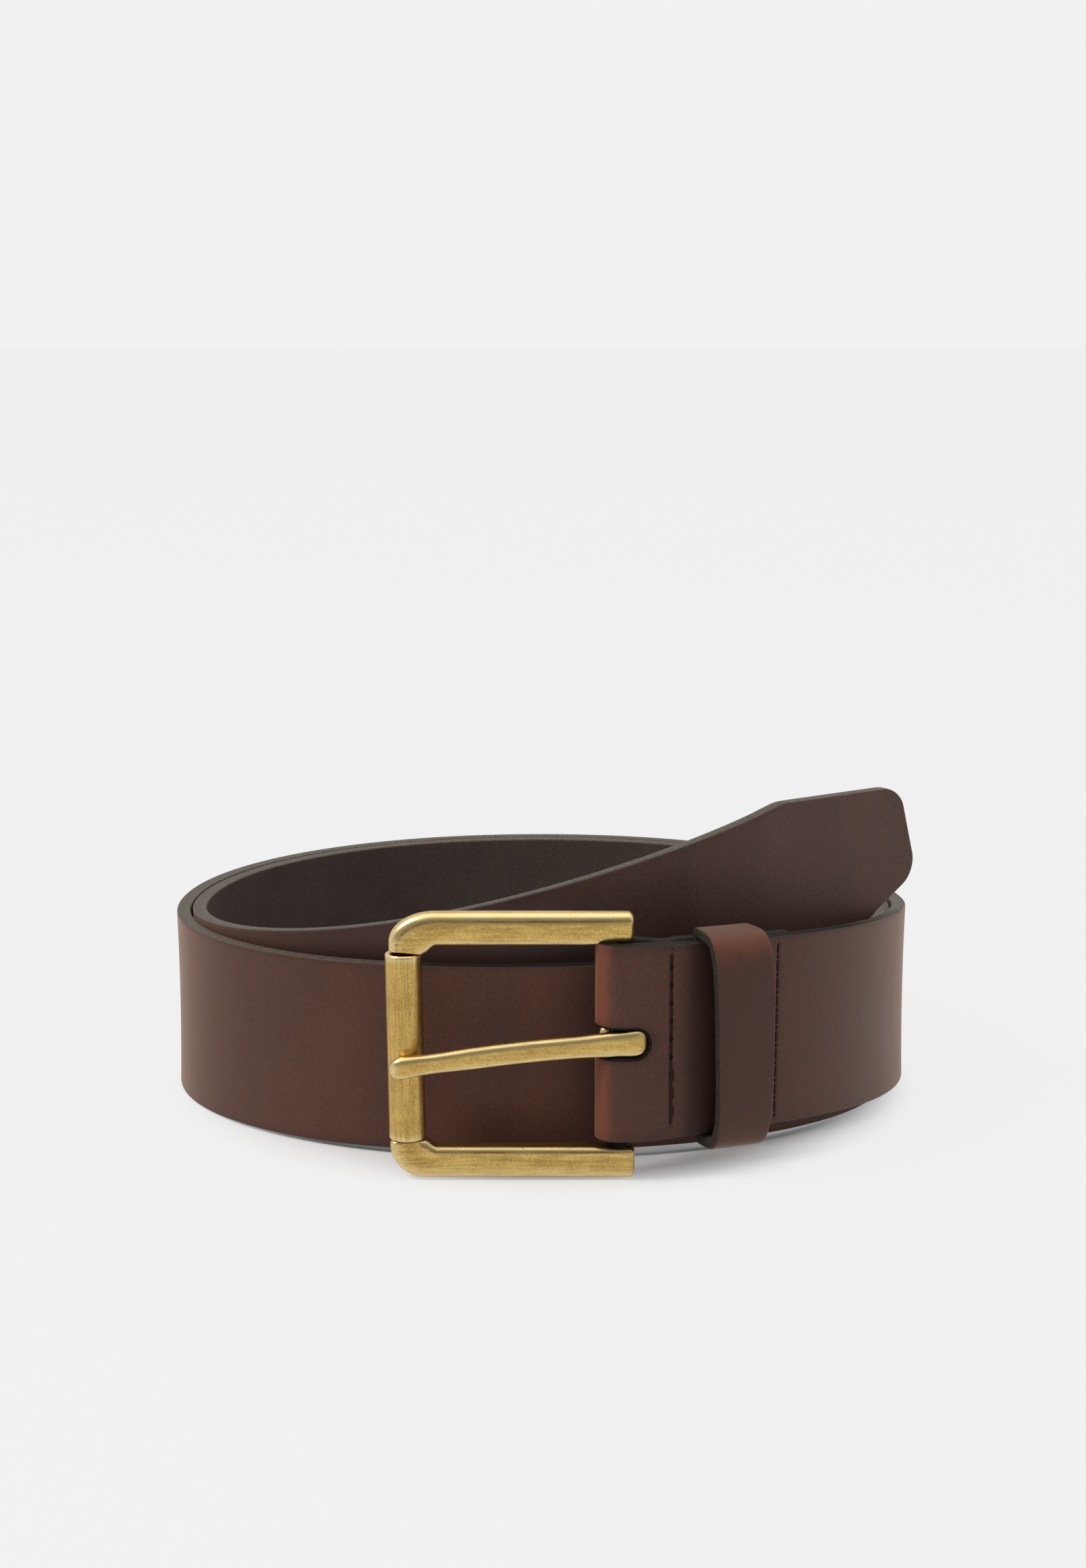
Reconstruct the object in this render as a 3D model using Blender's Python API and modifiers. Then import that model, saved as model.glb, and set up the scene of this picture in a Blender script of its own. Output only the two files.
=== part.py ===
"""A leather belt with a roller buckle, standing on its edge in a loose coil.

The strap is cut and punched flat, then bent along its path: back along the return flap,
round the heel bar of the buckle, twice round the coil, and up to the free tip.
Metres, +Z up. The buckle faces -Y, and the box round the belt stands on the origin.
"""

import math

import bmesh
import bpy
import numpy as np
from mathutils import Matrix, Vector

# Strap, as cut flat
STRAP_WIDTH = 0.040
STRAP_THICKNESS = 0.0031
STRAP_LENGTH = 1.0702
FLAP_THICKNESS = 0.0022
FLAP_REACH = 0.0395  # from the heel bar to the end of the return flap
TIP_TAPER_LENGTH = 0.0366
TIP_END_WIDTH = 0.020
TIP_CORNER_RADIUS = 0.0042
HOLE_COUNT = 5
HOLE_DIAMETER = 0.0048
HOLE_PITCH = 0.025
FIRST_HOLE_FROM_TIP = 0.110
SLOT_WIDTH = 0.0066
SLOT_REACH = 0.0072  # past the heel bar's axis, on each side of the fold

# Coil, at the strap's middle
HALF_WIDTH = 0.0828
HALF_DEPTH_FRONT = 0.0658
HALF_DEPTH_BACK = 0.0770
SQUARENESS = 2.035  # 2 is an ellipse
LAYER_PITCH = 0.0036
BUCKLE_TURN = 0.0352  # where the outer layer starts, in turns from the front
BULGE = 0.0147  # how far the buckle holds the outer layer off the next one
BULGE_END_TURN = 0.2306
RAISE_START_TURN = 0.055
RAISE_END_TURN = 0.2965  # by here the outer layer has come down to the floor
FRONT_LIFT = 0.0017
FRONT_LIFT_TURN = 1.042
FRONT_LIFT_SPREAD = 0.263
TIP_INSET = 0.0029  # extra room between the tip and the layer round it
TIP_INSET_TURN = 1.80
FREE_TURN = 2.144  # here the tip leaves the coil and runs straight
CLIMB_TURN = 1.683
CLIMB_LENGTH = 0.1665
CLIMB_ANGLE = math.radians(15.57)

# Buckle, in its own frame: the heel bar's axis is at x = 0, the middle at z = 0
FRAME_LEFT = -0.0469
FRAME_RIGHT = 0.0031
FRAME_HEIGHT = 0.0558
FRAME_THICKNESS = 0.005
BAR_HEIGHT = 0.006
BLOCK_STEP = 0.0012
BLOCK_END = -0.0400
BLOCK_FLARE = 0.0014
CORNER_RADIUS = 0.0064
FRAME_EDGE = 0.0011
BAR_END_RADIUS = 0.0025
BLOCK_RADIUS = 0.0009
HEEL_RADIUS = 0.0020
ROLLER_X = -0.0439
ROLLER_RADIUS = 0.0037
ROLLER_BORE = 0.0028
ROLLER_AXLE = 0.0021
ROLLER_LENGTH = 0.0388
ROLLER_SEAM = 0.0004
PRONG_WIDTH = 0.0043
PRONG_THICKNESS = 0.0028
PRONG_DROOP = math.radians(6.0)
PRONG_TIP_PAST_ROLLER = 0.0027
PRONG_EDGE = 0.0007
PRONG_TAPER = 0.12  # share of its section lost by the tip
PRONG_TIP_LENGTH = 0.0021  # the rounded end
CURL_SWEEP = math.radians(250)

# Keeper loop and stitching, placed along the strap from the heel bar
ROW_REACH = (0.0094, 0.0343)
KEEPER_REACH = 0.0222
KEEPER_WIDTH = 0.013
KEEPER_THICKNESS = 0.0018
KEEPER_GAP = 0.0044  # room for the tip, in front of the strap
KEEPER_EDGE_PLAY = 0.0008
KEEPER_BACK_PLAY = 0.0004  # on each side of its back, between strap and flap
KEEPER_DIVISIONS = 4
KEEPER_SEAM = 0.0004
KEEPER_BACK_RADIUS = 0.0016
KEEPER_FRONT_RADIUS = 0.0050
STAPLE_LENGTH = 0.007
STAPLE_WIRE = 0.0006
STAPLE_LEG = 0.0012
STAPLE_SINK = 0.0001
PINCH_GAP = 0.0010  # between strap and flap at a stitch row
PINCH_FLAT = 0.0010  # how far to each side of a row the flap stays pinched
PINCH_RAMP = 0.0030
PARED_END = 0.0090  # the flap thickens over a ramp that starts this far before the fold
PARED_RAMP = 0.0080
STITCH_COUNT = 10
STITCH_PITCH = 0.0037
THREAD_DIAMETER = 0.0010
THREAD_SINK = 0.0001  # the thread's middle above the leather, where it dips
THREAD_RISE = 0.00025
GROOVE_WIDTH = 0.0016
GROOVE_DEPTH = 0.0007

CLEARANCE = 0.0003
WRAP_CLEARANCE = 0.00015
COIL_STEP = 0.0060
COIL_SAMPLES = 6000
TIP_SAMPLES = 400
TIP_SAMPLE_STEP = 0.0002

WRAP_RADIUS = HEEL_RADIUS + WRAP_CLEARANCE + STRAP_THICKNESS / 2
BUCKLE_MIDDLE = FRAME_HEIGHT / 2
STRAP_RAISE = FRAME_HEIGHT - BAR_HEIGHT - CLEARANCE - STRAP_WIDTH  # the top bar hangs on the strap
KEEPER_BACK = STRAP_THICKNESS / 2 + KEEPER_BACK_PLAY + KEEPER_THICKNESS  # behind the strap's middle
SLOT_HEIGHT = STRAP_RAISE + STRAP_WIDTH / 2 - BUCKLE_MIDDLE
BLOCK_INNER = FRAME_HEIGHT / 2 - BAR_HEIGHT - BLOCK_STEP

LEATHER = ((0.105, 0.052, 0.042, 1.0), 0.55, 0.0)
LOOP_LEATHER = ((0.120, 0.055, 0.042, 1.0), 0.50, 0.0)
BRASS = ((0.520, 0.380, 0.150, 1.0), 0.38, 1.0)
THREAD = ((0.018, 0.012, 0.010, 1.0), 0.80, 0.0)
STEEL = ((0.450, 0.450, 0.450, 1.0), 0.35, 1.0)


def smooth(value):
    """0 below 0, 1 above 1, with a level start and end between."""
    t = np.clip(value, 0.0, 1.0)
    return t * t * (3.0 - 2.0 * t)


def running_sum(rate, step):
    """The integral of rate over step, starting at 0."""
    middle = (rate[1:] + rate[:-1]) / 2
    return np.concatenate([[0.0], np.cumsum(middle * step)])


def coil_plan(turn):
    """Points of the coil seen from above: a squared oval that spirals inwards."""
    bulge = BULGE * (1 - smooth((turn - BUCKLE_TURN) / (BULGE_END_TURN - BUCKLE_TURN)))
    spring = TIP_INSET * smooth((turn - TIP_INSET_TURN) / (FREE_TURN - TIP_INSET_TURN))
    inset = LAYER_PITCH * turn - bulge + spring
    across = np.sin(2 * math.pi * turn)
    along = np.cos(2 * math.pi * turn)
    depth = np.where(along > 0, HALF_DEPTH_FRONT, HALF_DEPTH_BACK) - inset
    width = HALF_WIDTH - inset
    reach = np.abs(across / width) ** SQUARENESS + np.abs(along / depth) ** SQUARENESS
    radius = reach ** (-1 / SQUARENESS)
    return np.stack([radius * across, -radius * along], axis=1)


def flap_distance(reach):
    """From the strap's middle to the flap's middle, along the strap from the heel bar."""
    first, second = ROW_REACH
    pinched = (STRAP_THICKNESS + FLAP_THICKNESS) / 2 + PINCH_GAP
    room = KEEPER_THICKNESS + 2 * KEEPER_BACK_PLAY - PINCH_GAP
    rise = smooth((reach - first - PINCH_FLAT) / PINCH_RAMP)
    fall = smooth((second - PINCH_FLAT - reach) / PINCH_RAMP)
    wrap = 1 - smooth(reach / first)
    return pinched + room * np.minimum(rise, fall) + (2 * WRAP_RADIUS - pinched) * wrap


class StrapPath:
    """The bent strap's middle line: place, heading, climb and thickness at each length."""

    def __init__(self):
        outer, self.reach = self.coil_line()
        flap, flap_reach = self.flap_line(outer)
        wrap = self.wrap_line(outer)
        points = np.concatenate([flap, wrap, outer])
        step = np.diff(points, axis=0)
        self.along = np.concatenate([[0.0], np.cumsum(np.linalg.norm(step, axis=1))])
        self.flap_along = self.along[: len(flap)]
        self.flap_reach = flap_reach
        self.fold_start = self.along[len(flap)]
        self.fold_end = self.along[len(flap) + len(wrap)]
        self.points = points
        slope = np.gradient(points, self.along, axis=0)
        self.heading = np.unwrap(np.arctan2(slope[:, 1], slope[:, 0]))
        self.climb = np.arctan2(slope[:, 2], np.hypot(slope[:, 0], slope[:, 1]))
        self.heel = outer[0, :2] + WRAP_RADIUS * self.inward(outer)[0]

    def coil_line(self):
        """The strap from the heel bar to past the tip, with its length from the bar."""
        turn = np.linspace(BUCKLE_TURN, FREE_TURN, COIL_SAMPLES)
        coil = coil_plan(turn)
        last = coil[-1] - coil[-2]
        further = np.arange(1, TIP_SAMPLES)[:, None] * TIP_SAMPLE_STEP
        straight = further * last / np.linalg.norm(last)
        plan = np.concatenate([coil, coil[-1] + straight])
        turn = np.concatenate([turn, np.full(len(straight), FREE_TURN)])
        step = np.linalg.norm(np.diff(plan, axis=0), axis=1)
        run = np.concatenate([[0.0], np.cumsum(step)])
        climb_start = np.interp(CLIMB_TURN, turn, run)
        climb = CLIMB_ANGLE * smooth((run - climb_start) / CLIMB_LENGTH)
        down = smooth((turn - RAISE_START_TURN) / (RAISE_END_TURN - RAISE_START_TURN))
        lift = 1 - smooth(np.abs(turn - FRONT_LIFT_TURN) / FRONT_LIFT_SPREAD)
        height = STRAP_WIDTH / 2 + STRAP_RAISE * (1 - down) + FRONT_LIFT * lift
        height = height + running_sum(np.tan(climb), step)
        return np.column_stack([plan, height]), run

    @staticmethod
    def inward(line):
        """Unit vectors towards the inside of the coil, seen from above."""
        slope = np.gradient(line[:, :2], axis=0)
        slope /= np.linalg.norm(slope, axis=1)[:, None]
        return np.stack([-slope[:, 1], slope[:, 0]], axis=1)

    def flap_line(self, outer):
        """The return flap, from its end to the heel bar, behind the strap's first stretch."""
        reach = np.arange(FLAP_REACH, 0.0, -0.0001)
        centre = [np.interp(reach, self.reach, outer[:, axis]) for axis in range(3)]
        inward = self.inward(outer)
        behind = flap_distance(reach)
        for axis in range(2):
            centre[axis] = centre[axis] + behind * np.interp(reach, self.reach, inward[:, axis])
        return np.stack(centre, axis=1), reach

    def wrap_line(self, outer):
        """Half a turn round the heel bar, from the flap to the front."""
        inward = self.inward(outer)[0]
        heel = outer[0, :2] + WRAP_RADIUS * inward
        start = math.atan2(inward[1], inward[0])
        angle = start + np.linspace(0, math.pi, 180)[1:-1]
        ring = heel + WRAP_RADIUS * np.stack([np.cos(angle), np.sin(angle)], axis=1)
        return np.column_stack([ring, np.full(len(ring), outer[0, 2])])

    def front_at(self, reach):
        """Flat length of the point on the front that is this far from the heel bar."""
        return self.fold_end + reach

    def flap_at(self, reach):
        """Flat length of the point on the flap behind that one."""
        return float(np.interp(-reach, -self.flap_reach, self.flap_along))

    def thickness(self, along):
        """The flap is pared down on its flesh side, and thickens again towards the fold."""
        full = smooth((along - self.fold_start + PARED_END) / PARED_RAMP)
        return FLAP_THICKNESS + (STRAP_THICKNESS - FLAP_THICKNESS) * full

    def frame_at(self, along):
        """Place, run, up and outward directions at these flat lengths."""
        place = np.stack([np.interp(along, self.along, self.points[:, k]) for k in range(3)], axis=-1)
        heading = np.interp(along, self.along, self.heading)
        climb = np.interp(along, self.along, self.climb)
        run = np.stack([np.cos(heading), np.sin(heading), np.zeros_like(heading)], axis=-1)
        vertical = np.array([0.0, 0.0, 1.0])
        up = vertical * np.cos(climb)[..., None] - run * np.sin(climb)[..., None]
        outward = np.stack([np.sin(heading), -np.cos(heading), np.zeros_like(heading)], axis=-1)
        return place, run, up, outward

    def bend(self, flat):
        """Carries points of the flat strap (length, width, thickness) to the coil."""
        place, _, up, outward = self.frame_at(flat[:, 0])
        pared = self.thickness(flat[:, 0]) / STRAP_THICKNESS
        return place + up * flat[:, 1:2] + outward * (flat[:, 2] * pared)[:, None]

    def least_gap(self):
        """The least clear gap between layers of the coil, measured on points."""
        along = np.arange(0.0, STRAP_LENGTH, 0.002)
        place, _, up, _ = self.frame_at(along)
        half = self.thickness(along) / 2
        reach = tip_half_width(along) * up[:, 2]
        flat = np.linalg.norm(place[:, None, :2] - place[None, :, :2], axis=2)
        clear = flat - half[:, None] - half[None, :]
        apart = np.abs(along[:, None] - along[None, :]) > 0.1
        meets = np.abs(place[:, None, 2] - place[None, :, 2]) < reach[:, None] + reach[None, :]
        return float(clear[apart & meets].min())


def material(name, finish):
    """A plain metal or leather material."""
    colour, roughness, metallic = finish
    made = bpy.data.materials.new(name)
    made.use_nodes = True
    shader = made.node_tree.nodes["Principled BSDF"]
    shader.inputs["Base Color"].default_value = colour
    shader.inputs["Roughness"].default_value = roughness
    shader.inputs["Metallic"].default_value = metallic
    return made


class Belt:
    """Holds the collections and the parent that every part hangs on."""

    def __init__(self):
        self.parts = self.collection("leather_belt")
        self.cutters = self.collection("cutters")
        self.root = bpy.data.objects.new("belt", None)
        self.parts.objects.link(self.root)

    @staticmethod
    def collection(name):
        made = bpy.data.collections.new(name)
        bpy.context.scene.collection.children.link(made)
        return made

    def add(self, name, data, finish, place=None):
        """Adds a part with its own material, placed by a matrix in the belt's frame."""
        part = bpy.data.objects.new(name, data)
        self.parts.objects.link(part)
        part.parent = self.root
        part.matrix_local = place if place is not None else Matrix.Identity(4)
        data.materials.clear()
        data.materials.append(material(name, finish))
        return part

    def cutter(self, name, data, place=None):
        """Adds a helper that only cuts or joins."""
        helper = bpy.data.objects.new(name, data)
        self.cutters.objects.link(helper)
        helper.parent = self.root
        helper.matrix_local = place if place is not None else Matrix.Identity(4)
        helper.hide_render = True
        helper.display_type = "WIRE"
        return helper


def new_mesh(name, shape):
    """Turns a bmesh into a mesh, with its faces pointing out."""
    bmesh.ops.recalc_face_normals(shape, faces=shape.faces)
    mesh = bpy.data.meshes.new(name)
    shape.to_mesh(mesh)
    shape.free()
    return mesh


def boolean(target, helper, operation):
    """Cuts the helper from the target, or joins it on."""
    step = target.modifiers.new(helper.name, "BOOLEAN")
    step.operation = operation
    step.object = helper


def evaluated_mesh(thing):
    """The mesh that an object's modifiers or curve give."""
    bpy.context.view_layer.update()
    graph = bpy.context.evaluated_depsgraph_get()
    return bpy.data.meshes.new_from_object(thing.evaluated_get(graph), depsgraph=graph)


def box_mesh(name, size, centre):
    shape = bmesh.new()
    bmesh.ops.create_cube(shape, size=1.0)
    bmesh.ops.scale(shape, vec=Vector(size), verts=shape.verts)
    bmesh.ops.translate(shape, vec=Vector(centre), verts=shape.verts)
    return new_mesh(name, shape)


def rod_mesh(name, radius, length, centre, sides=24):
    """An upright rod."""
    shape = bmesh.new()
    bmesh.ops.create_cone(
        shape, cap_ends=True, segments=sides, radius1=radius, radius2=radius, depth=length
    )
    bmesh.ops.translate(shape, vec=Vector(centre), verts=shape.verts)
    return new_mesh(name, shape)


def plate_mesh(name, outline, depth, across):
    """An outline given in two directions, thickened along the third, across."""
    shape = bmesh.new()
    corners = [shape.verts.new(point) for point in outline]
    face = shape.faces.new(corners)
    grown = bmesh.ops.extrude_face_region(shape, geom=[face])["geom"]
    moved = [item for item in grown if isinstance(item, bmesh.types.BMVert)]
    bmesh.ops.translate(shape, vec=Vector(across) * depth, verts=moved)
    bmesh.ops.translate(shape, vec=Vector(across) * (-depth / 2), verts=shape.verts)
    return new_mesh(name, shape)


def rounded_outline(corners, steps=5):
    """Points of an outline whose corners (first, second, radius) are rounded by arcs."""
    count = len(corners)
    points = []
    for index, (a, b, radius) in enumerate(corners):
        corner = Vector((a, b))
        before = (Vector(corners[index - 1][:2]) - corner).normalized()
        after = (Vector(corners[(index + 1) % count][:2]) - corner).normalized()
        half = before.angle(after) / 2
        centre = corner + (before + after).normalized() * (radius / math.sin(half))
        start = corner + before * (radius / math.tan(half)) - centre
        end = corner + after * (radius / math.tan(half)) - centre
        for step in range(steps + 1):
            direction = start.lerp(end, step / steps).normalized()
            points.append(centre + direction * radius)
    return points


def tip_half_width(along):
    """Half the strap's width: full, then the taper, then the rounded end corners."""
    from_end = STRAP_LENGTH - along
    narrowing = (STRAP_WIDTH - TIP_END_WIDTH) / 2
    half = STRAP_WIDTH / 2 - narrowing * np.clip(1 - from_end / TIP_TAPER_LENGTH, 0, 1)
    into = np.clip(1 - from_end / TIP_CORNER_RADIUS, 0, 1)
    return half - TIP_CORNER_RADIUS * (1 - np.sqrt(1 - into**2))


def strap_stations(path):
    """Flat lengths at which the strap is divided: close together where it bends sharply."""
    wrap_end = path.front_at(ROW_REACH[0])
    coil_end = STRAP_LENGTH - TIP_TAPER_LENGTH
    corner = STRAP_LENGTH - TIP_CORNER_RADIUS
    stretches = [
        (0.0, path.fold_start, 30),
        (path.fold_start, path.fold_end, 12),
        (path.fold_end, wrap_end, 6),
        (wrap_end, coil_end, round((coil_end - wrap_end) / COIL_STEP)),
        (coil_end, corner, 5),
    ]
    lengths = [np.linspace(a, b, count, endpoint=False) for a, b, count in stretches]
    rounding = np.sin(np.linspace(0, math.pi / 2, 6))
    return np.concatenate(lengths + [corner + TIP_CORNER_RADIUS * rounding])


def flat_strap(belt, path):
    """The strap cut and punched flat, with length along X and width along Y."""
    stations = strap_stations(path)
    sheet = bmesh.new()
    bmesh.ops.create_grid(sheet, x_segments=len(stations) - 1, y_segments=2, size=1.0)
    half = tip_half_width(stations)
    for vertex in sheet.verts:
        index = round((vertex.co.x + 1) / 2 * (len(stations) - 1))
        vertex.co = (stations[index], vertex.co.y * half[index], 0.0)
    strap = belt.cutter("flat_strap", new_mesh("flat_strap", sheet))
    solid = strap.modifiers.new("thickness", "SOLIDIFY")
    solid.thickness = STRAP_THICKNESS
    solid.offset = 0.0
    for helper in strap_cutters(belt, path):
        boolean(strap, helper, "DIFFERENCE")
    return strap


def strap_cutters(belt, path):
    """Punches for the prong slot and the holes, and cutters for the stitch grooves."""
    deep = 3 * STRAP_THICKNESS
    start = path.fold_start - SLOT_REACH
    end = path.fold_end + SLOT_REACH
    side = SLOT_WIDTH / 2
    corners = [(start, -side, side), (end, -side, side), (end, side, side), (start, side, side)]
    outline = [(p.x, p.y, 0.0) for p in rounded_outline([(a, b, r * 0.98) for a, b, r in corners])]
    cutters = [belt.cutter("slot_punch", plate_mesh("slot_punch", outline, deep, (0, 0, 1)))]
    for index in range(HOLE_COUNT):
        along = STRAP_LENGTH - FIRST_HOLE_FROM_TIP - index * HOLE_PITCH
        name = f"hole_punch_{index + 1}"
        mesh = rod_mesh(name, HOLE_DIAMETER / 2, deep, (along, 0, 0), sides=16)
        cutters.append(belt.cutter(name, mesh))
    row_length = STITCH_COUNT * STITCH_PITCH + 2 * THREAD_DIAMETER
    for index, reach in enumerate(ROW_REACH):
        for layer, along in (("front", path.front_at(reach)), ("back", path.flap_at(reach))):
            name = f"{layer}_groove_{index + 1}"
            size = (GROOVE_WIDTH, row_length, 2 * GROOVE_DEPTH)
            mesh = box_mesh(name, size, (along, 0, STRAP_THICKNESS / 2))
            cutters.append(belt.cutter(name, mesh))
    return cutters


def make_strap(belt, path):
    """Bends the flat strap along its path."""
    mesh = evaluated_mesh(flat_strap(belt, path))
    shape = bmesh.new()
    shape.from_mesh(mesh)
    bmesh.ops.triangulate(shape, faces=shape.faces)
    flat = np.array([vertex.co for vertex in shape.verts])
    for vertex, place in zip(shape.verts, path.bend(flat)):
        vertex.co = place
    return belt.add("strap", new_mesh("strap", shape), LEATHER)


def make_thread(belt, path, name, along):
    """One thread of a stitch row: a line that rises over each stitch and dips between."""
    count = 4 * STITCH_COUNT + 1
    across = np.linspace(-0.5, 0.5, count) * STITCH_COUNT * STITCH_PITCH
    wave = 0.5 - 0.5 * np.cos(2 * math.pi * across / STITCH_PITCH)
    place, _, up, outward = path.frame_at(np.full(count, along))
    surface = path.thickness(np.full(count, along)) / 2
    height = surface + THREAD_SINK + THREAD_RISE * wave
    points = place + up * across[:, None] + outward * height[:, None]
    curve = bpy.data.curves.new(name, "CURVE")
    curve.dimensions = "3D"
    curve.bevel_depth = THREAD_DIAMETER / 2
    curve.bevel_resolution = 1
    curve.use_fill_caps = True
    line = curve.splines.new("POLY")
    line.points.add(count - 1)
    for point, spot in zip(line.points, points):
        point.co = (*spot, 1.0)
    return belt.add(name, curve, THREAD)


def make_frame(belt, place):
    """The cast frame: two bars with corner blocks, the heel bar and the roller's axle."""
    top = FRAME_HEIGHT / 2
    inner = top - BAR_HEIGHT
    corners = [
        (FRAME_LEFT, BLOCK_INNER, BLOCK_RADIUS),
        (BLOCK_END, BLOCK_INNER, BLOCK_RADIUS),
        (BLOCK_END + BLOCK_FLARE, inner, BLOCK_RADIUS),
        (FRAME_RIGHT, inner, BLOCK_RADIUS),
        (FRAME_RIGHT, top, BAR_END_RADIUS),
        (FRAME_LEFT, top, CORNER_RADIUS),
    ]
    upper = [(p.x, 0.0, p.y) for p in rounded_outline(corners)]
    lower = [(x, y, -z) for x, y, z in upper]
    frame = belt.add(
        "buckle_frame", plate_mesh("buckle_frame", upper, FRAME_THICKNESS, (0, 1, 0)), BRASS, place
    )
    low_bar = belt.cutter(
        "lower_bar", plate_mesh("lower_bar", lower, FRAME_THICKNESS, (0, 1, 0)), place
    )
    for bar in (frame, low_bar):
        edge = bar.modifiers.new("rounded_edges", "BEVEL")
        edge.width = FRAME_EDGE
        edge.segments = 2
        edge.limit_method = "ANGLE"
        edge.angle_limit = math.radians(60)
    heel = rod_mesh("heel_bar", HEEL_RADIUS, FRAME_HEIGHT - BAR_HEIGHT, (0, 0, 0))
    axle = rod_mesh("roller_axle", ROLLER_AXLE, 2 * BLOCK_INNER + 0.002, (ROLLER_X, 0, 0))
    for helper in (low_bar, belt.cutter("heel_bar", heel, place), belt.cutter("axle", axle, place)):
        boolean(frame, helper, "UNION")
    return frame


def make_roller(belt, place):
    """A sheet-brass tube rolled round its axle, with a seam at the back."""
    sheet = bmesh.new()
    radius = (ROLLER_RADIUS + ROLLER_BORE) / 2
    opening = ROLLER_SEAM / radius
    ring = []
    for step in range(33):
        angle = math.pi / 2 + opening / 2 + (2 * math.pi - opening) * step / 32
        spot = (radius * math.cos(angle), radius * math.sin(angle), -ROLLER_LENGTH / 2)
        ring.append(sheet.verts.new(spot))
    edges = [sheet.edges.new(pair) for pair in zip(ring, ring[1:])]
    grown = bmesh.ops.extrude_edge_only(sheet, edges=edges)["geom"]
    top = [item for item in grown if isinstance(item, bmesh.types.BMVert)]
    bmesh.ops.translate(sheet, vec=(0, 0, ROLLER_LENGTH), verts=top)
    roller = belt.add("roller", new_mesh("roller", sheet), BRASS, place)
    wall = roller.modifiers.new("wall", "SOLIDIFY")
    wall.thickness = ROLLER_RADIUS - ROLLER_BORE
    wall.offset = 0.0
    return roller


def loft_mesh(name, rings):
    """Joins rings of points one after another, and closes both ends."""
    shape = bmesh.new()
    rows = [[shape.verts.new(point) for point in ring] for ring in rings]
    for first, second in zip(rows, rows[1:]):
        for index in range(len(first)):
            before = index - 1
            shape.faces.new((first[before], first[index], second[index], second[before]))
    shape.faces.new(rows[0])
    shape.faces.new(rows[-1])
    return new_mesh(name, shape)


def prong_line():
    """The prong's middle line: a curl round the heel bar, then the drooping arm."""
    half = PRONG_THICKNESS / 2
    curl = HEEL_RADIUS + CLEARANCE + half
    angle = np.linspace(-math.pi / 2 + CURL_SWEEP, -math.pi / 2, 17)
    bend = np.stack([curl * np.cos(angle), curl * np.sin(angle), 0 * angle], axis=1)
    tip = ROLLER_X - PRONG_TIP_PAST_ROLLER
    rounding = 1 - np.sin(np.linspace(0, 0.47 * math.pi, 7))
    x = np.append(np.linspace(0, tip + PRONG_TIP_LENGTH, 8)[1:-1], tip + PRONG_TIP_LENGTH * rounding)
    rest = -(ROLLER_RADIUS + CLEARANCE + half)
    y = -curl + (rest + curl) * smooth(x / ROLLER_X)
    arm = np.stack([x, y, x * math.tan(PRONG_DROOP)], axis=1)
    return np.concatenate([bend, arm]) + [0.0, 0.0, SLOT_HEIGHT]


def make_prong(belt, place):
    """The prong: a rounded bar carried along its line, and narrowed to a round tip."""
    half_width = PRONG_WIDTH / 2
    half_depth = PRONG_THICKNESS / 2
    signs = ((-1, -1), (1, -1), (1, 1), (-1, 1))
    corners = [(a * half_width, b * half_depth, PRONG_EDGE) for a, b in signs]
    section = np.array(rounded_outline(corners, steps=2))
    line = prong_line()
    slope = np.gradient(line[:, :2], axis=0)
    slope /= np.linalg.norm(slope, axis=1)[:, None]
    tip = line[-1, 0]
    rings = []
    for spot, (run, side) in zip(line, slope):
        into = np.clip((tip + PRONG_TIP_LENGTH - spot[0]) / PRONG_TIP_LENGTH, 0, 1)
        size = (1 - PRONG_TAPER * max(0.0, spot[0] / tip)) * math.sqrt(1 - 0.96 * into**2)
        normal = np.array([-side, run, 0.0])
        upright = np.array([0.0, 0.0, 1.0])
        rings.append([spot + size * (a * upright + b * normal) for a, b in section])
    return belt.add("prong", loft_mesh("prong", rings), BRASS, place)


def keeper_ring():
    """The keeper's middle line round the strap, open at the seam behind it."""
    half = KEEPER_THICKNESS / 2
    back = half - KEEPER_BACK
    front = STRAP_THICKNESS / 2 + KEEPER_GAP + half
    side = STRAP_WIDTH / 2 + KEEPER_EDGE_PLAY + half
    corners = [
        (back, -side, KEEPER_BACK_RADIUS),
        (front, -side, KEEPER_FRONT_RADIUS),
        (front, side, KEEPER_FRONT_RADIUS),
        (back, side, KEEPER_BACK_RADIUS),
    ]
    ring = [(point.x, point.y) for point in rounded_outline(corners, steps=6)]
    return [(back, -KEEPER_SEAM / 2)] + ring + [(back, KEEPER_SEAM / 2)]


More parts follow.
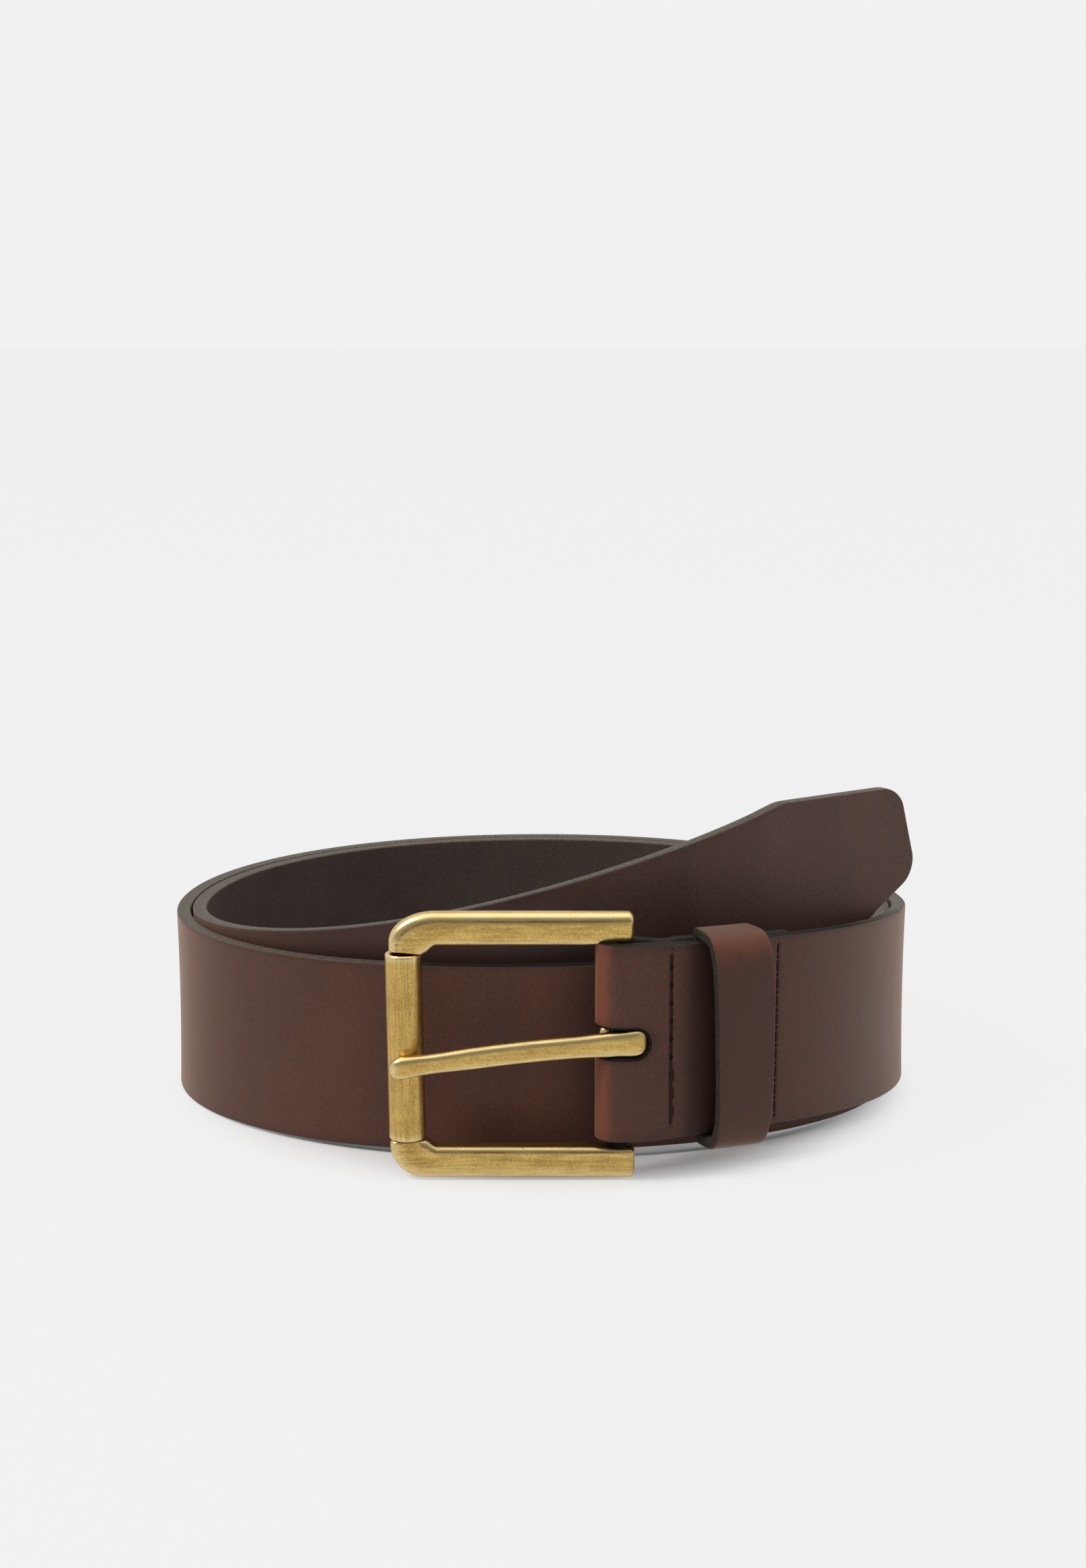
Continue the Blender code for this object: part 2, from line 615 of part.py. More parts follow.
def make_keeper(belt, path, place):
    """The leather keeper loop: a strip bent round the strap, its ends butted at the back."""
    sheet = bmesh.new()
    rows = []
    for offset in np.linspace(-0.5, 0.5, KEEPER_DIVISIONS + 1) * KEEPER_WIDTH:
        along = path.front_at(KEEPER_REACH) + offset
        flat = np.array([(along, height, out) for out, height in keeper_ring()])
        rows.append([sheet.verts.new(spot) for spot in path.bend(flat)])
    for first, second in zip(rows, rows[1:]):
        for index in range(len(first) - 1):
            after = index + 1
            sheet.faces.new((first[index], first[after], second[after], second[index]))
    keeper = belt.add("keeper_loop", new_mesh("keeper_loop", sheet), LOOP_LEATHER)
    wall = keeper.modifiers.new("thickness", "SOLIDIFY")
    wall.thickness = KEEPER_THICKNESS
    wall.offset = 0.0
    wall.use_even_offset = True
    room = STAPLE_WIRE + 2 * CLEARANCE
    snug = STAPLE_WIRE + CLEARANCE
    bed = box_mesh("staple_bed", (room, 2 * room, STAPLE_LENGTH + room), (0, -KEEPER_BACK, 0))
    boolean(keeper, belt.cutter("staple_bed", bed, place), "DIFFERENCE")
    for side, name in ((-1, "staple_hole_lower"), (1, "staple_hole_upper")):
        spot = (0, room - KEEPER_BACK, side * (STAPLE_LENGTH - STAPLE_WIRE) / 2)
        hole = box_mesh(name, (snug, 4 * room, snug), spot)
        boolean(keeper, belt.cutter(name, hole, place), "DIFFERENCE")
    return keeper


def make_staple(belt, place):
    """The wire staple that holds the keeper's two ends together."""
    crown = STAPLE_WIRE / 2 + STAPLE_SINK - KEEPER_BACK
    end = (STAPLE_LENGTH - STAPLE_WIRE) / 2
    curve = bpy.data.curves.new("keeper_staple", "CURVE")
    curve.dimensions = "3D"
    curve.bevel_depth = STAPLE_WIRE / 2
    curve.bevel_resolution = 1
    curve.use_fill_caps = True
    line = curve.splines.new("POLY")
    spots = [(crown + STAPLE_LEG, -end), (crown, -end), (crown, end), (crown + STAPLE_LEG, end)]
    line.points.add(len(spots) - 1)
    for point, (out, height) in zip(line.points, spots):
        point.co = (0.0, out, height, 1.0)
    return belt.add("keeper_staple", curve, STEEL, place)


def keeper_place(path):
    """The keeper's frame: X along the strap, Y out of its front, Z up its width."""
    place, _, up, outward = path.frame_at(np.array([path.front_at(KEEPER_REACH)]))
    along = np.cross(outward[0], up[0])
    columns = [Vector(along), Vector(outward[0]), Vector(up[0])]
    turned = Matrix(columns).transposed().to_4x4()
    turned.translation = Vector(place[0])
    return turned


def stand_on_origin(belt):
    """Moves the belt so that the middle of its box's base is at the origin."""
    bpy.context.view_layer.update()
    graph = bpy.context.evaluated_depsgraph_get()
    corners = []
    for part in belt.parts.objects:
        if part.type == "EMPTY":
            continue
        mesh = part.evaluated_get(graph).to_mesh()
        corners.extend(part.matrix_world @ vertex.co for vertex in mesh.vertices)
    box = np.array(corners)
    low, high = box.min(axis=0), box.max(axis=0)
    belt.root.location = (-(low[0] + high[0]) / 2, -(low[1] + high[1]) / 2, -low[2])
    bpy.context.view_layer.update()


def main():
    for thing in list(bpy.data.objects):
        bpy.data.objects.remove(thing, do_unlink=True)
    belt = Belt()
    path = StrapPath()
    make_strap(belt, path)
    for index, reach in enumerate(ROW_REACH):
        make_thread(belt, path, f"front_thread_{index + 1}", path.front_at(reach))
        make_thread(belt, path, f"back_thread_{index + 1}", path.flap_at(reach))
    heel = Matrix.Translation((*path.heel, BUCKLE_MIDDLE))
    make_frame(belt, heel)
    roller = make_roller(belt, heel @ Matrix.Translation((ROLLER_X, 0, 0)))
    prong = make_prong(belt, heel)
    make_keeper(belt, path, keeper_place(path))
    staple = make_staple(belt, keeper_place(path))
    stand_on_origin(belt)
    gap = path.least_gap()
    print(f"least gap between layers {gap * 1000:.2f} mm, path {path.along[-1]:.4f} m")
    for name, part in (("heel", prong), ("roller", roller), ("keeper", staple)):
        spot = part.matrix_world.translation
        print(name, "axis at", [round(value, 6) for value in spot])
    print("keeper slides along", [round(v, 6) for v in staple.matrix_world.to_3x3().col[0]])


main()
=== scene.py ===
"""Looks of a leather belt with a brass roller buckle, coiled and standing on its edge.

Every piece is a surface worked out with numpy, in metres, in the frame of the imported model.
The strap and the keeper are laid out flat as cut leather, then bent along the strap's path.
The brass pieces are rounded sections carried along a line.
"""

import logging
import math
from dataclasses import dataclass, field
from enum import Enum, IntEnum
from typing import Callable, Sequence

import bpy
import numpy as np
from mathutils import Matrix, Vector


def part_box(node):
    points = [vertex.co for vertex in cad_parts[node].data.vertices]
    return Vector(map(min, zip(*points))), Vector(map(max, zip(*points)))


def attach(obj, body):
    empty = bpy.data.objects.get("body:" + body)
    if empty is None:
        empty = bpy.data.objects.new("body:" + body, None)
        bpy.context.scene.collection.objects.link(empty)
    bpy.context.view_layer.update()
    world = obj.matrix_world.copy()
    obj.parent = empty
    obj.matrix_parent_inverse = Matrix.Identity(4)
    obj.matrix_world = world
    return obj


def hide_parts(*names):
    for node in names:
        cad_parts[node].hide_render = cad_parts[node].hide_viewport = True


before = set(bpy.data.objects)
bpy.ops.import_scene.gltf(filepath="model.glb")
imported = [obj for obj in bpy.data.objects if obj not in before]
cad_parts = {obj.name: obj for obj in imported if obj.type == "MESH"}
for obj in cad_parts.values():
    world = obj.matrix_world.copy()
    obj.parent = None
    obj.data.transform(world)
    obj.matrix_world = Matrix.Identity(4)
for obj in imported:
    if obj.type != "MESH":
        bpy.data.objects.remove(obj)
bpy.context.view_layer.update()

LOG = logging.getLogger("belt")
Array = np.ndarray
Pair, Triple = tuple[float, float], tuple[float, float, float]
Colour = Triple
Bump = Triple  # strength, middle or start, and spread or length
Material, Piece, Socket = bpy.types.Material, bpy.types.Object, bpy.types.NodeSocket
QUARTER, TURN = math.pi / 2, 2 * math.pi
NEARLY = 0.995  # keeps a rounded end from closing to a point


class Region(IntEnum):
    """Which side of a piece of leather a face belongs to."""

    GRAIN = 0
    FLESH = 1
    CUT = 2
    HOLE = 3


class Body(str, Enum):
    """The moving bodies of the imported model."""

    STRAP = "strap"
    FRAME = "frame"
    ROLLER = "roller"
    PRONG = "prong"
    KEEPER = "keeper"


class Slot(str, Enum):
    """The material slots of the record."""

    STRAP = "strap"
    THREAD = "thread"
    FRAME = "frame"
    ROLLER = "roller"
    PRONG = "prong"
    KEEPER = "keeper"
    STAPLE = "staple"


def smooth(value: Array | float, start: float = 0.0, length: float = 1.0) -> Array:
    """0 before start and 1 past the length, with 3t^2 - 2t^3 between."""
    t = np.clip((value - start) / length, 0.0, 1.0)
    return t * t * (3.0 - 2.0 * t)


def hump(value: Array | float, middle: float = 0.0, spread: float = 1.0) -> Array:
    """A bell, 1 at its middle and falling as exp(-t^2), where t is the distance over the spread."""
    return np.exp(-np.square((value - middle) / spread))


def run_of(points: Array) -> Array:
    """Length along a line of points, starting at 0."""
    return np.concatenate([[0.0], np.cumsum(np.linalg.norm(np.diff(points, axis=0), axis=1))])


def read_off(at: Array, along: Array, rows: Array) -> Array:
    """Rows of numbers along a line, read off between the known places."""
    return np.stack([np.interp(at, along, column) for column in rows.T], axis=-1)


def spaced(start: float, end: float, step: float) -> Array:
    """Evenly spaced values from start up to, but without, end, about one step apart."""
    return np.linspace(start, end, max(1, round((end - start) / step)), endpoint=False)


def mirrored(side: Array) -> Array:
    """Values from 0 upwards, with the same values below 0 before them."""
    return np.concatenate([-side[:0:-1], side])


def circle(count: int) -> Array:
    """Angles all round, without the last."""
    return np.linspace(0, TURN, count, endpoint=False)


def quarter(count: int) -> Array:
    """Angles from 0 to a right angle."""
    return np.linspace(0, QUARTER, count)


def unit(vectors: Array) -> Array:
    """The vectors at length 1."""
    return vectors / np.maximum(np.linalg.norm(vectors, axis=-1, keepdims=True), 1e-12)


@dataclass
class Shell:
    """One closed surface.

    Attributes:
        points: Places of the points, one row each.
        quads: Four point numbers for each face.
        caps: Rings of point numbers that close open ends.
        regions: The material number of each quad.
        flat: Flat place of each point, kept as a UV map.
        values: Named numbers at each point, kept as attributes.
    """

    points: Array
    quads: Array
    caps: list[Array] = field(default_factory=list)
    regions: Array | None = None
    flat: Array | None = None
    values: dict[str, Array] = field(default_factory=dict)

    def volume(self) -> float:
        """Signed volume: the sum over triangles of a . (b x c) / 6."""
        fans = [np.stack([np.full(len(c) - 2, c[0]), c[1:-1], c[2:]], axis=1) for c in self.caps]
        triangles = np.concatenate([self.quads[:, [0, 1, 2]], self.quads[:, [0, 2, 3]], *fans])
        a, b, c = (self.points[triangles[:, k]] for k in range(3))
        return float(np.einsum("ij,ij->", a, np.cross(b, c)) / 6)

    def outward(self) -> "Shell":
        """Turns every face round if the surface is inside out."""
        if self.volume() < 0:
            self.quads = self.quads[:, ::-1]
            self.caps = [cap[::-1] for cap in self.caps]
        return self


def loft(rings: Array, values: dict[str, Array] | None = None) -> Shell:
    """A closed surface through rings of points, with both ends capped.

    Args:
        rings: Points, one ring in each row.
        values: Named numbers at each point, in the same rows.

    Returns:
        The closed shell.
    """
    count, around = rings.shape[:2]
    numbers = np.arange(count * around).reshape(count, around)
    after = np.roll(numbers, -1, axis=1)
    quads = np.stack([numbers[:-1], after[:-1], after[1:], numbers[1:]], axis=-1).reshape(-1, 4)
    caps = [numbers[0][::-1], numbers[-1]]
    named = {name: np.ravel(value) for name, value in (values or {}).items()}
    return Shell(rings.reshape(-1, 3), quads, caps, values=named).outward()


@dataclass(frozen=True)
class PillowSection:
    """A closed section between an ellipse and a rectangle: |a|^n + |b|^n = 1.

    Attributes:
        powers: The n of the formula where a is above 0, and where it is below.
        count: Points round the section.
        aspect: Usual ratio of the two half sizes, which spaces the points evenly.
        fine: Points that the spacing is measured on.
    """

    powers: Pair
    count: int = 96
    aspect: float = 1.3
    fine: int = 8001

    def sized(self, first: Array, second: Array) -> tuple[Array, Array, Array]:
        """Sections of given half sizes.

        Args:
            first: Half size in the first direction, one for each section.
            second: Half size in the second direction.

        Returns:
            First and second coordinates of the points, and how far each is on a corner.
        """
        fine = np.linspace(0, TURN, self.fine)
        run = run_of(np.stack(self.point(fine), axis=1) * [self.aspect, 1.0])
        angle = np.interp(np.linspace(0, run[-1], self.count, endpoint=False), run, fine)
        a, b = self.point(angle)
        steep = np.where(a < 0, self.powers[1], self.powers[0]) - 1
        slope = unit(np.stack([np.abs(a) ** steep / self.aspect, np.abs(b) ** steep], axis=1))
        corner = np.broadcast_to(2 * slope[:, 0] * slope[:, 1], (len(first), self.count))
        return a * first[:, None], b * second[:, None], corner

    def point(self, angle: Array) -> tuple[Array, Array]:
        """The section's point at each angle, for half sizes of 1."""
        c, s = np.cos(angle), np.sin(angle)
        share = 2 / np.where(c < 0, self.powers[1], self.powers[0])
        return np.sign(c) * np.abs(c) ** share, np.sign(s) * np.abs(s) ** share


def put(name: str, data: bpy.types.ID) -> Piece:
    """A new object in the scene."""
    made = bpy.data.objects.new(name, data)
    bpy.context.scene.collection.objects.link(made)
    return made


def make_piece(
    name: str, shells: Sequence[Shell], finishes: Sequence[Material], sharp: float | None = None
) -> Piece:
    """Puts shells into one mesh object at the origin.

    Args:
        name: Name of the piece.
        shells: Closed surfaces, which are kept apart.
        finishes: Materials, in the order of the shells' regions.
        sharp: Angle in degrees past which an edge stays sharp, or None.

    Returns:
        The new object.
    """
    starts = np.concatenate([[0], np.cumsum([len(shell.points) for shell in shells])])
    faces: list[list[int]] = []
    regions: list[Array] = []
    for shell, start in zip(shells, starts):
        faces += (shell.quads + start).tolist() + [(cap + start).tolist() for cap in shell.caps]
        own = np.zeros(len(shell.quads), int) if shell.regions is None else shell.regions
        regions += [own, np.zeros(len(shell.caps), int)]
    mesh = bpy.data.meshes.new(name)
    mesh.from_pydata(np.concatenate([shell.points for shell in shells]), [], faces)
    for finish in finishes:
        mesh.materials.append(finish)
    mesh.polygons.foreach_set("material_index", np.concatenate(regions).astype(np.int32))
    mesh.polygons.foreach_set("use_smooth", np.ones(len(faces), bool))
    if all(shell.flat is not None for shell in shells):
        corner = np.zeros(len(mesh.loops), np.int32)
        mesh.loops.foreach_get("vertex_index", corner)
        flat = np.concatenate([shell.flat for shell in shells])
        mesh.uv_layers.new(name="flat").data.foreach_set("uv", flat[corner].ravel())
    for key in sorted({key for shell in shells for key in shell.values}):
        number = [shell.values.get(key, np.zeros(len(shell.points))) for shell in shells]
        layer = mesh.attributes.new(key, "FLOAT", "POINT")
        layer.data.foreach_set("value", np.concatenate(number).astype(np.float32))
    mesh.update()
    if sharp is not None:
        mesh.set_sharp_from_angle(angle=math.radians(sharp))
    return put(name, mesh)


def place_piece(piece: Piece, body: Body, slot: Slot, *nodes: str) -> None:
    """Rides a piece on its body in place of CAD nodes, and reports it.

    Args:
        piece: The piece.
        body: The body it moves with.
        slot: The record's material slot; not used.
        nodes: The CAD nodes it stands for.
    """
    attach(piece, body.value)
    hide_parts(*nodes)
    LOG.info("%s: %d faces, stands for %s", piece.name, len(piece.data.polygons), ", ".join(nodes))


class Nodes:
    """Adds and links the nodes of one tree."""

    def __init__(self, tree: bpy.types.NodeTree) -> None:
        """Keeps the tree."""
        self.tree = tree

    def fill(self, node: bpy.types.Node, inputs: dict[str | int, object]) -> None:
        """Sets a node's inputs, or links sockets to them. A plain colour is made opaque.

        Args:
            node: The node.
            inputs: Values or sockets, by the input's name or number.
        """
        for key, value in inputs.items():
            socket = node.inputs[key]
            if isinstance(value, Socket):
                self.tree.links.new(value, socket)
            else:
                socket.default_value = (*value, 1.0) if socket.type == "RGBA" else value

    def add(
        self, kind: str, inputs: dict[str | int, object] | None = None, **settings: object
    ) -> bpy.types.Node:
        """A new node.

        Args:
            kind: Blender's name for the node.
            inputs: Values or sockets for its inputs, by name or number.
            settings: Values for its properties.

        Returns:
            The node.
        """
        node = self.tree.nodes.new(kind)
        for key, value in settings.items():
            setattr(node, key, value)
        self.fill(node, inputs or {})
        return node

    def math(
        self, operation: str, first: object, second: object, clamp: bool = False
    ) -> Socket:
        """One step of arithmetic, held between 0 and 1 if clamped."""
        inputs = {0: first, 1: second}
        return self.add("ShaderNodeMath", inputs, operation=operation, use_clamp=clamp).outputs[0]

    def times(self, first: object, second: object) -> Socket:
        """The product of two values."""
        return self.math("MULTIPLY", first, second)

    def weighted(self, *parts: tuple[object, float]) -> Socket:
        """The sum of values, each times its weight."""
        total, *rest = [self.times(value, weight) for value, weight in parts]
        for part in rest:
            total = self.math("ADD", total, part)
        return total

    def span(
        self, value: object, low: float, high: float, to_low: float = 0.0, to_high: float = 1.0
    ) -> Socket:
        """Carries low..high to to_low..to_high, and stops at the ends."""
        inputs = {0: value, 1: low, 2: high, 3: to_low, 4: to_high}
        return self.add("ShaderNodeMapRange", inputs, clamp=True).outputs[0]

    def mix(self, share: object, first: object, second: object) -> Socket:
        """A colour between two colours."""
        inputs = {0: share, 6: first, 7: second}
        return self.add("ShaderNodeMix", inputs, data_type="RGBA").outputs[2]

    def noise(
        self, vector: object, scale: object, detail: float = 2.0, rough: float = 0.5
    ) -> Socket:
        """Cloudy noise around one half; the scale is in features per metre."""
        inputs = {"Vector": vector, "Scale": scale, "Detail": detail, "Roughness": rough}
        return self.add("ShaderNodeTexNoise", inputs).outputs[0]

    def cells(self, vector: object, scale: object, feature: str = "F1") -> Socket:
        """Distance in a cell pattern."""
        inputs = {"Vector": vector, "Scale": scale}
        return self.add("ShaderNodeTexVoronoi", inputs, feature=feature).outputs["Distance"]

    def stretched(self, vector: object, scale: Triple) -> Socket:
        """The vector scaled along each axis."""
        return self.add("ShaderNodeMapping", {"Vector": vector, "Scale": scale}).outputs[0]

    def attribute(self, name: str) -> Socket:
        """A number kept at the points of the mesh."""
        return self.add("ShaderNodeAttribute", attribute_name=name).outputs["Fac"]

    def object_place(self) -> Socket:
        """The place on the piece, in metres."""
        return self.add("ShaderNodeTexCoord").outputs["Object"]

    def bump(self, height: object, distance: float, strength: float = 1.0) -> Socket:
        """A normal tilted by a height."""
        inputs = {"Height": height, "Distance": distance, "Strength": strength}
        return self.add("ShaderNodeBump", inputs).outputs[0]

    def seen(self) -> Socket:
        """1 for what the camera sees, straight or mirrored, and 0 for light on things."""
        rays = self.add("ShaderNodeLightPath").outputs
        return self.math("MAXIMUM", rays["Is Camera Ray"], rays["Is Glossy Ray"])


def open_group(name: str, inputs: dict[str, str]) -> tuple[Nodes, dict[str, Socket]]:
    """A new node group with its inputs.

    Args:
        name: Name of the group.
        inputs: Socket kinds by name.

    Returns:
        The group's nodes, and its inputs as sockets to read.
    """
    tree = bpy.data.node_groups.new(name, "ShaderNodeTree")
    for label, kind in inputs.items():
        tree.interface.new_socket(label, in_out="INPUT", socket_type=kind)
    entry = tree.nodes.new("NodeGroupInput")
    return Nodes(tree), {label: entry.outputs[label] for label in inputs}


def close_group(nodes: Nodes, outputs: dict[str, Socket]) -> bpy.types.NodeTree:
    """Gives a node group its outputs, which are all plain numbers.

    Args:
        nodes: The group's nodes.
        outputs: Sockets by the names of the outputs.

    Returns:
        The finished group.
    """
    for label in outputs:
        nodes.tree.interface.new_socket(label, in_out="OUTPUT", socket_type="NodeSocketFloat")
    nodes.add("NodeGroupOutput", outputs)
    return nodes.tree


def leather_group() -> bpy.types.NodeTree:
    """Clouds of dye, a fine mottle, pores and the height of the grain."""
    kinds = {"Vector": "NodeSocketVector", "Grain Scale": "NodeSocketFloat"}
    nodes, given = open_group("leather_grain", kinds)
    place, scale = given["Vector"], given["Grain Scale"]
    broad = nodes.noise(nodes.stretched(place, (1.0, 1.0, 0.4)), 55.0, detail=3.0, rough=0.55)
    fine = nodes.noise(place, scale, rough=0.6)
    lumps = nodes.noise(place, 260.0)
    pebbles = nodes.cells(place, nodes.times(scale, 0.8), "SMOOTH_F1")
    pores = nodes.span(nodes.cells(place, nodes.times(scale, 0.45)), 0.0, 0.16, 1.0, 0.0)
    outputs = {
        "Clouds": nodes.span(broad, 0.30, 0.70),
        "Mottle": nodes.span(fine, 0.36, 0.64),
        "Pores": pores,
        "Height": nodes.weighted((lumps, 0.5), (pebbles, 0.7), (pores, -0.3), (fine, 0.5)),
    }
    return close_group(nodes, outputs)


def patina_group() -> bpy.types.NodeTree:
    """Brown patina clouds, dark pits, rubbed streaks and the height of a cast surface."""
    kinds = {"Vector": "NodeSocketVector", "Drawn Vector": "NodeSocketVector"}
    nodes, given = open_group("brass_patina", kinds)
    place = given["Vector"]
    broad = nodes.noise(place, 170.0, detail=3.0, rough=0.6)
    speckle = nodes.noise(place, 2900.0, detail=4.0, rough=0.75)
    lumps = nodes.noise(place, 320.0, detail=1.0)
    streaks = nodes.noise(given["Drawn Vector"], 2000.0, detail=3.0, rough=0.6)
    warp = nodes.times(nodes.noise(place, 6500.0), 0.20)
    cells = nodes.add("ShaderNodeTexVoronoi", {"Vector": place, "Scale": 1250.0}).outputs
    size = nodes.add("ShaderNodeSeparateColor", {0: cells["Color"]}).outputs[0]
    room = nodes.math("ADD", nodes.span(size, 0.35, 1.0, -0.04, 0.20), 0.08)
    depth = nodes.math("SUBTRACT", room, nodes.math("ADD", cells["Distance"], warp))
    pits = nodes.span(depth, -0.03, 0.03)
    outputs = {
        "Patina": nodes.span(nodes.weighted((broad, 0.4), (speckle, 0.8)), 0.52, 0.76),
        "Pits": pits,
        "Streaks": nodes.span(streaks, 0.36, 0.66),
        "Height": nodes.weighted((speckle, 0.35), (lumps, 0.9), (pits, -1.0)),
    }
    return close_group(nodes, outputs)


@dataclass(frozen=True)
class Finish:
    """A named surface finish; each kind draws its own nodes.

    Attributes:
        name: Name of the material.
    """

    name: str

    def material(self) -> Material:
        """The finish as a Blender material."""
        made = bpy.data.materials.new(self.name)
        made.use_nodes = True
        nodes = Nodes(made.node_tree)
        nodes.fill(made.node_tree.nodes["Principled BSDF"], self.draw(nodes))
        return made

    def draw(self, nodes: Nodes) -> dict[str, object]:
        """Adds the finish's nodes.

        Args:
            nodes: The nodes of its material.

        Returns:
            Values or sockets for the shader's inputs, by name.
        """
        raise NotImplementedError


@dataclass(frozen=True)
class GrainFinish(Finish):
    """The dyed grain side of the leather.

    Attributes:
        group: The leather node group.
        dark: Colour where the dye is deep.
        light: Colour where it is thin.
        rubbed: Colour where bends and rubbing have drawn the dye away; on the keeper's top, partly
            painted highlight.
        dull: Deep and thin dye where the leather is drier and greyer.
        shaded: Colour of the painted shade, and of the deeper edge dye beside the cut edges.
        pore: Colour in the pores.
        tint: Colour of the sheen.
        grain_scale: Grain features per metre.
        roughness: Least and most roughness.
        sheen: Weight of the soft sheen at glancing angles.
    """

    group: bpy.types.NodeTree
    dark: Colour = (0.043, 0.0182, 0.0128)
    light: Colour = (0.103, 0.0390, 0.0252)
    rubbed: Colour = (0.172, 0.047, 0.022)
    dull: tuple[Colour, Colour] = ((0.050, 0.0290, 0.0230), (0.114, 0.0690, 0.0550))
    shaded: Colour = (0.008, 0.004, 0.0035)
    pore: Colour = (0.012, 0.006, 0.005)
    tint: Colour = (1.0, 0.69, 0.49)
    grain_scale: float = 3000.0
    roughness: Pair = (0.45, 0.58)
    sheen: float = 0.45

    def draw(self, nodes: Nodes) -> dict[str, object]:
        """Mixes the dye by clouds and mottle, then wears and dulls it, and paints shade into it, by
        attributes.
        """
        place = nodes.object_place()
        vectors = {"Vector": place, "Grain Scale": self.grain_scale}
        grain = nodes.add("ShaderNodeGroup", vectors, node_tree=self.group).outputs
        clouds, mottle = grain["Clouds"], grain["Mottle"]
        share = nodes.weighted((clouds, 0.42), (mottle, 0.58))
        rub = nodes.attribute("rub")
        uneven = nodes.math("SUBTRACT", nodes.noise(place, 330.0, detail=4.0, rough=0.65), 0.5)
        ragged = nodes.math("ADD", rub, nodes.times(uneven, 0.9))
        wear_and_painted_light = nodes.times(rub, nodes.span(mottle, 0.0, 1.0, 0.72, 1.1))
        wear_and_painted_light = nodes.times(wear_and_painted_light, nodes.span(ragged, 0.15, 0.75))
        colour = nodes.mix(wear_and_painted_light, nodes.mix(share, self.dark, self.light), self.rubbed)
        colour = nodes.mix(nodes.attribute("dull"), colour, nodes.mix(share, *self.dull))
        # The shade attribute paints shade into the colour; beside the cut edges it is deeper edge
        # dye.
        colour = nodes.mix(nodes.attribute("shade"), colour, self.shaded)
        return {
            "Base Color": nodes.mix(nodes.times(grain["Pores"], 0.25), colour, self.pore),
            "Roughness": nodes.span(clouds, 0.0, 1.0, *self.roughness),
            "Normal": nodes.bump(grain["Height"], 0.00006, 0.8),
            "Sheen Weight": self.sheen,
            "Sheen Roughness": 0.36,
            "Sheen Tint": self.tint,
            "Specular IOR Level": 0.25,
        }


@dataclass(frozen=True)
class FleshFinish(Finish):
    """The suede-like flesh side.

    Attributes:
        dark: Colour in the nap's hollows.
        light: Colour on its tufts.
        tint: Colour of its faint sheen.
    """

    dark: Colour = (0.031, 0.0215, 0.0175)
    light: Colour = (0.090, 0.064, 0.0510)
    tint: Colour = (0.9, 0.72, 0.60)

    def draw(self, nodes: Nodes) -> dict[str, object]:
        """Fibres: fine noise over broad clouds, dull and rough."""
        place = nodes.object_place()
        tufts = nodes.noise(place, 2600.0, detail=4.0, rough=0.75)
        broad = nodes.noise(place, 70.0, detail=3.0, rough=0.6)
        share = nodes.span(nodes.weighted((tufts, 0.7), (broad, 0.2)), 0.29, 0.61)
        return {
            "Base Color": nodes.mix(share, self.dark, self.light),
            "Roughness": 0.85,
            "Normal": nodes.bump(tufts, 0.00022, 0.9),
            "Specular IOR Level": 0.20,
            "Sheen Weight": 0.03,
            "Sheen Tint": self.tint,
        }


@dataclass(frozen=True)
class CutFinish(Finish):
    """The painted and burnished cut edge, with fibres showing through.

    Attributes:
        dark: Colour between the fibres.
        light: Colour of the fibres, made lighter partly as a painted reflection of the pale room.
        shaded: Colour of the painted shade on edges by the buckle, along the bottom and near the
            slot.
        tint: Colour of what it mirrors.
        fibres: Fibres per metre along the piece's flat length, across it, and in depth.
        roughness: Roughness of the paint.
        gloss: How strongly the paint mirrors.
    """

    dark: Colour = (0.020, 0.0155, 0.0115)
    light: Colour = (0.205, 0.1660, 0.1270)
    shaded: Colour = (0.004, 0.0030, 0.0025)
    tint: Colour = (1.0, 0.92, 0.80)
    fibres: Triple = (1100.0, 5200.0, 1.0)
    roughness: float = 0.55
    gloss: float = 0.24

    def draw(self, nodes: Nodes) -> dict[str, object]:
        """Short fibres: noise drawn out along the piece's flat length, among specks."""
        flat = nodes.add("ShaderNodeUVMap", uv_map="flat").outputs[0]
        fibres = nodes.noise(nodes.stretched(flat, self.fibres), 1.0, detail=3.0, rough=0.7)
        specks = nodes.noise(nodes.object_place(), 3600.0, detail=3.0, rough=0.75)
        share = nodes.weighted((fibres, 0.25), (specks, 0.75))
        # The light fibre colour is partly a painted reflection of the pale room that glancing edges
        # mirror.
        colour = nodes.mix(nodes.span(share, 0.40, 0.62), self.dark, self.light)
        return {
            # The shade attribute paints shade into the edge's colour.
            "Base Color": nodes.mix(nodes.attribute("shade"), colour, self.shaded),
            "Roughness": self.roughness,
            "Normal": nodes.bump(share, 0.00030),
            "Specular IOR Level": self.gloss,
            "Specular Tint": self.tint,
        }


@dataclass(frozen=True)
class ThreadFinish(Finish):
    """Waxed brown thread.

    Attributes:
        dark: Colour of the painted shade between the plies and at the stitch ends.
        light: Colour on the plies.
    """

    dark: Colour = (0.0075, 0.0042, 0.0045)
    light: Colour = (0.036, 0.0165, 0.0125)

    def draw(self, nodes: Nodes) -> dict[str, object]:
        """Painted shade in the hollows between plies, by the ply attribute, with a little noise."""
        fuzz = nodes.noise(nodes.object_place(), 4200.0, detail=3.0, rough=0.7)
        # The ply attribute paints shade between the plies and at the stitch ends.
        share = nodes.times(nodes.attribute("ply"), nodes.span(fuzz, 0.3, 0.7, 0.4, 1.1))
        return {
            "Base Color": nodes.mix(share, self.dark, self.light),
            "Roughness": 0.75,
            "Normal": nodes.bump(fuzz, 0.00005),
            "Specular IOR Level": 0.12,
        }


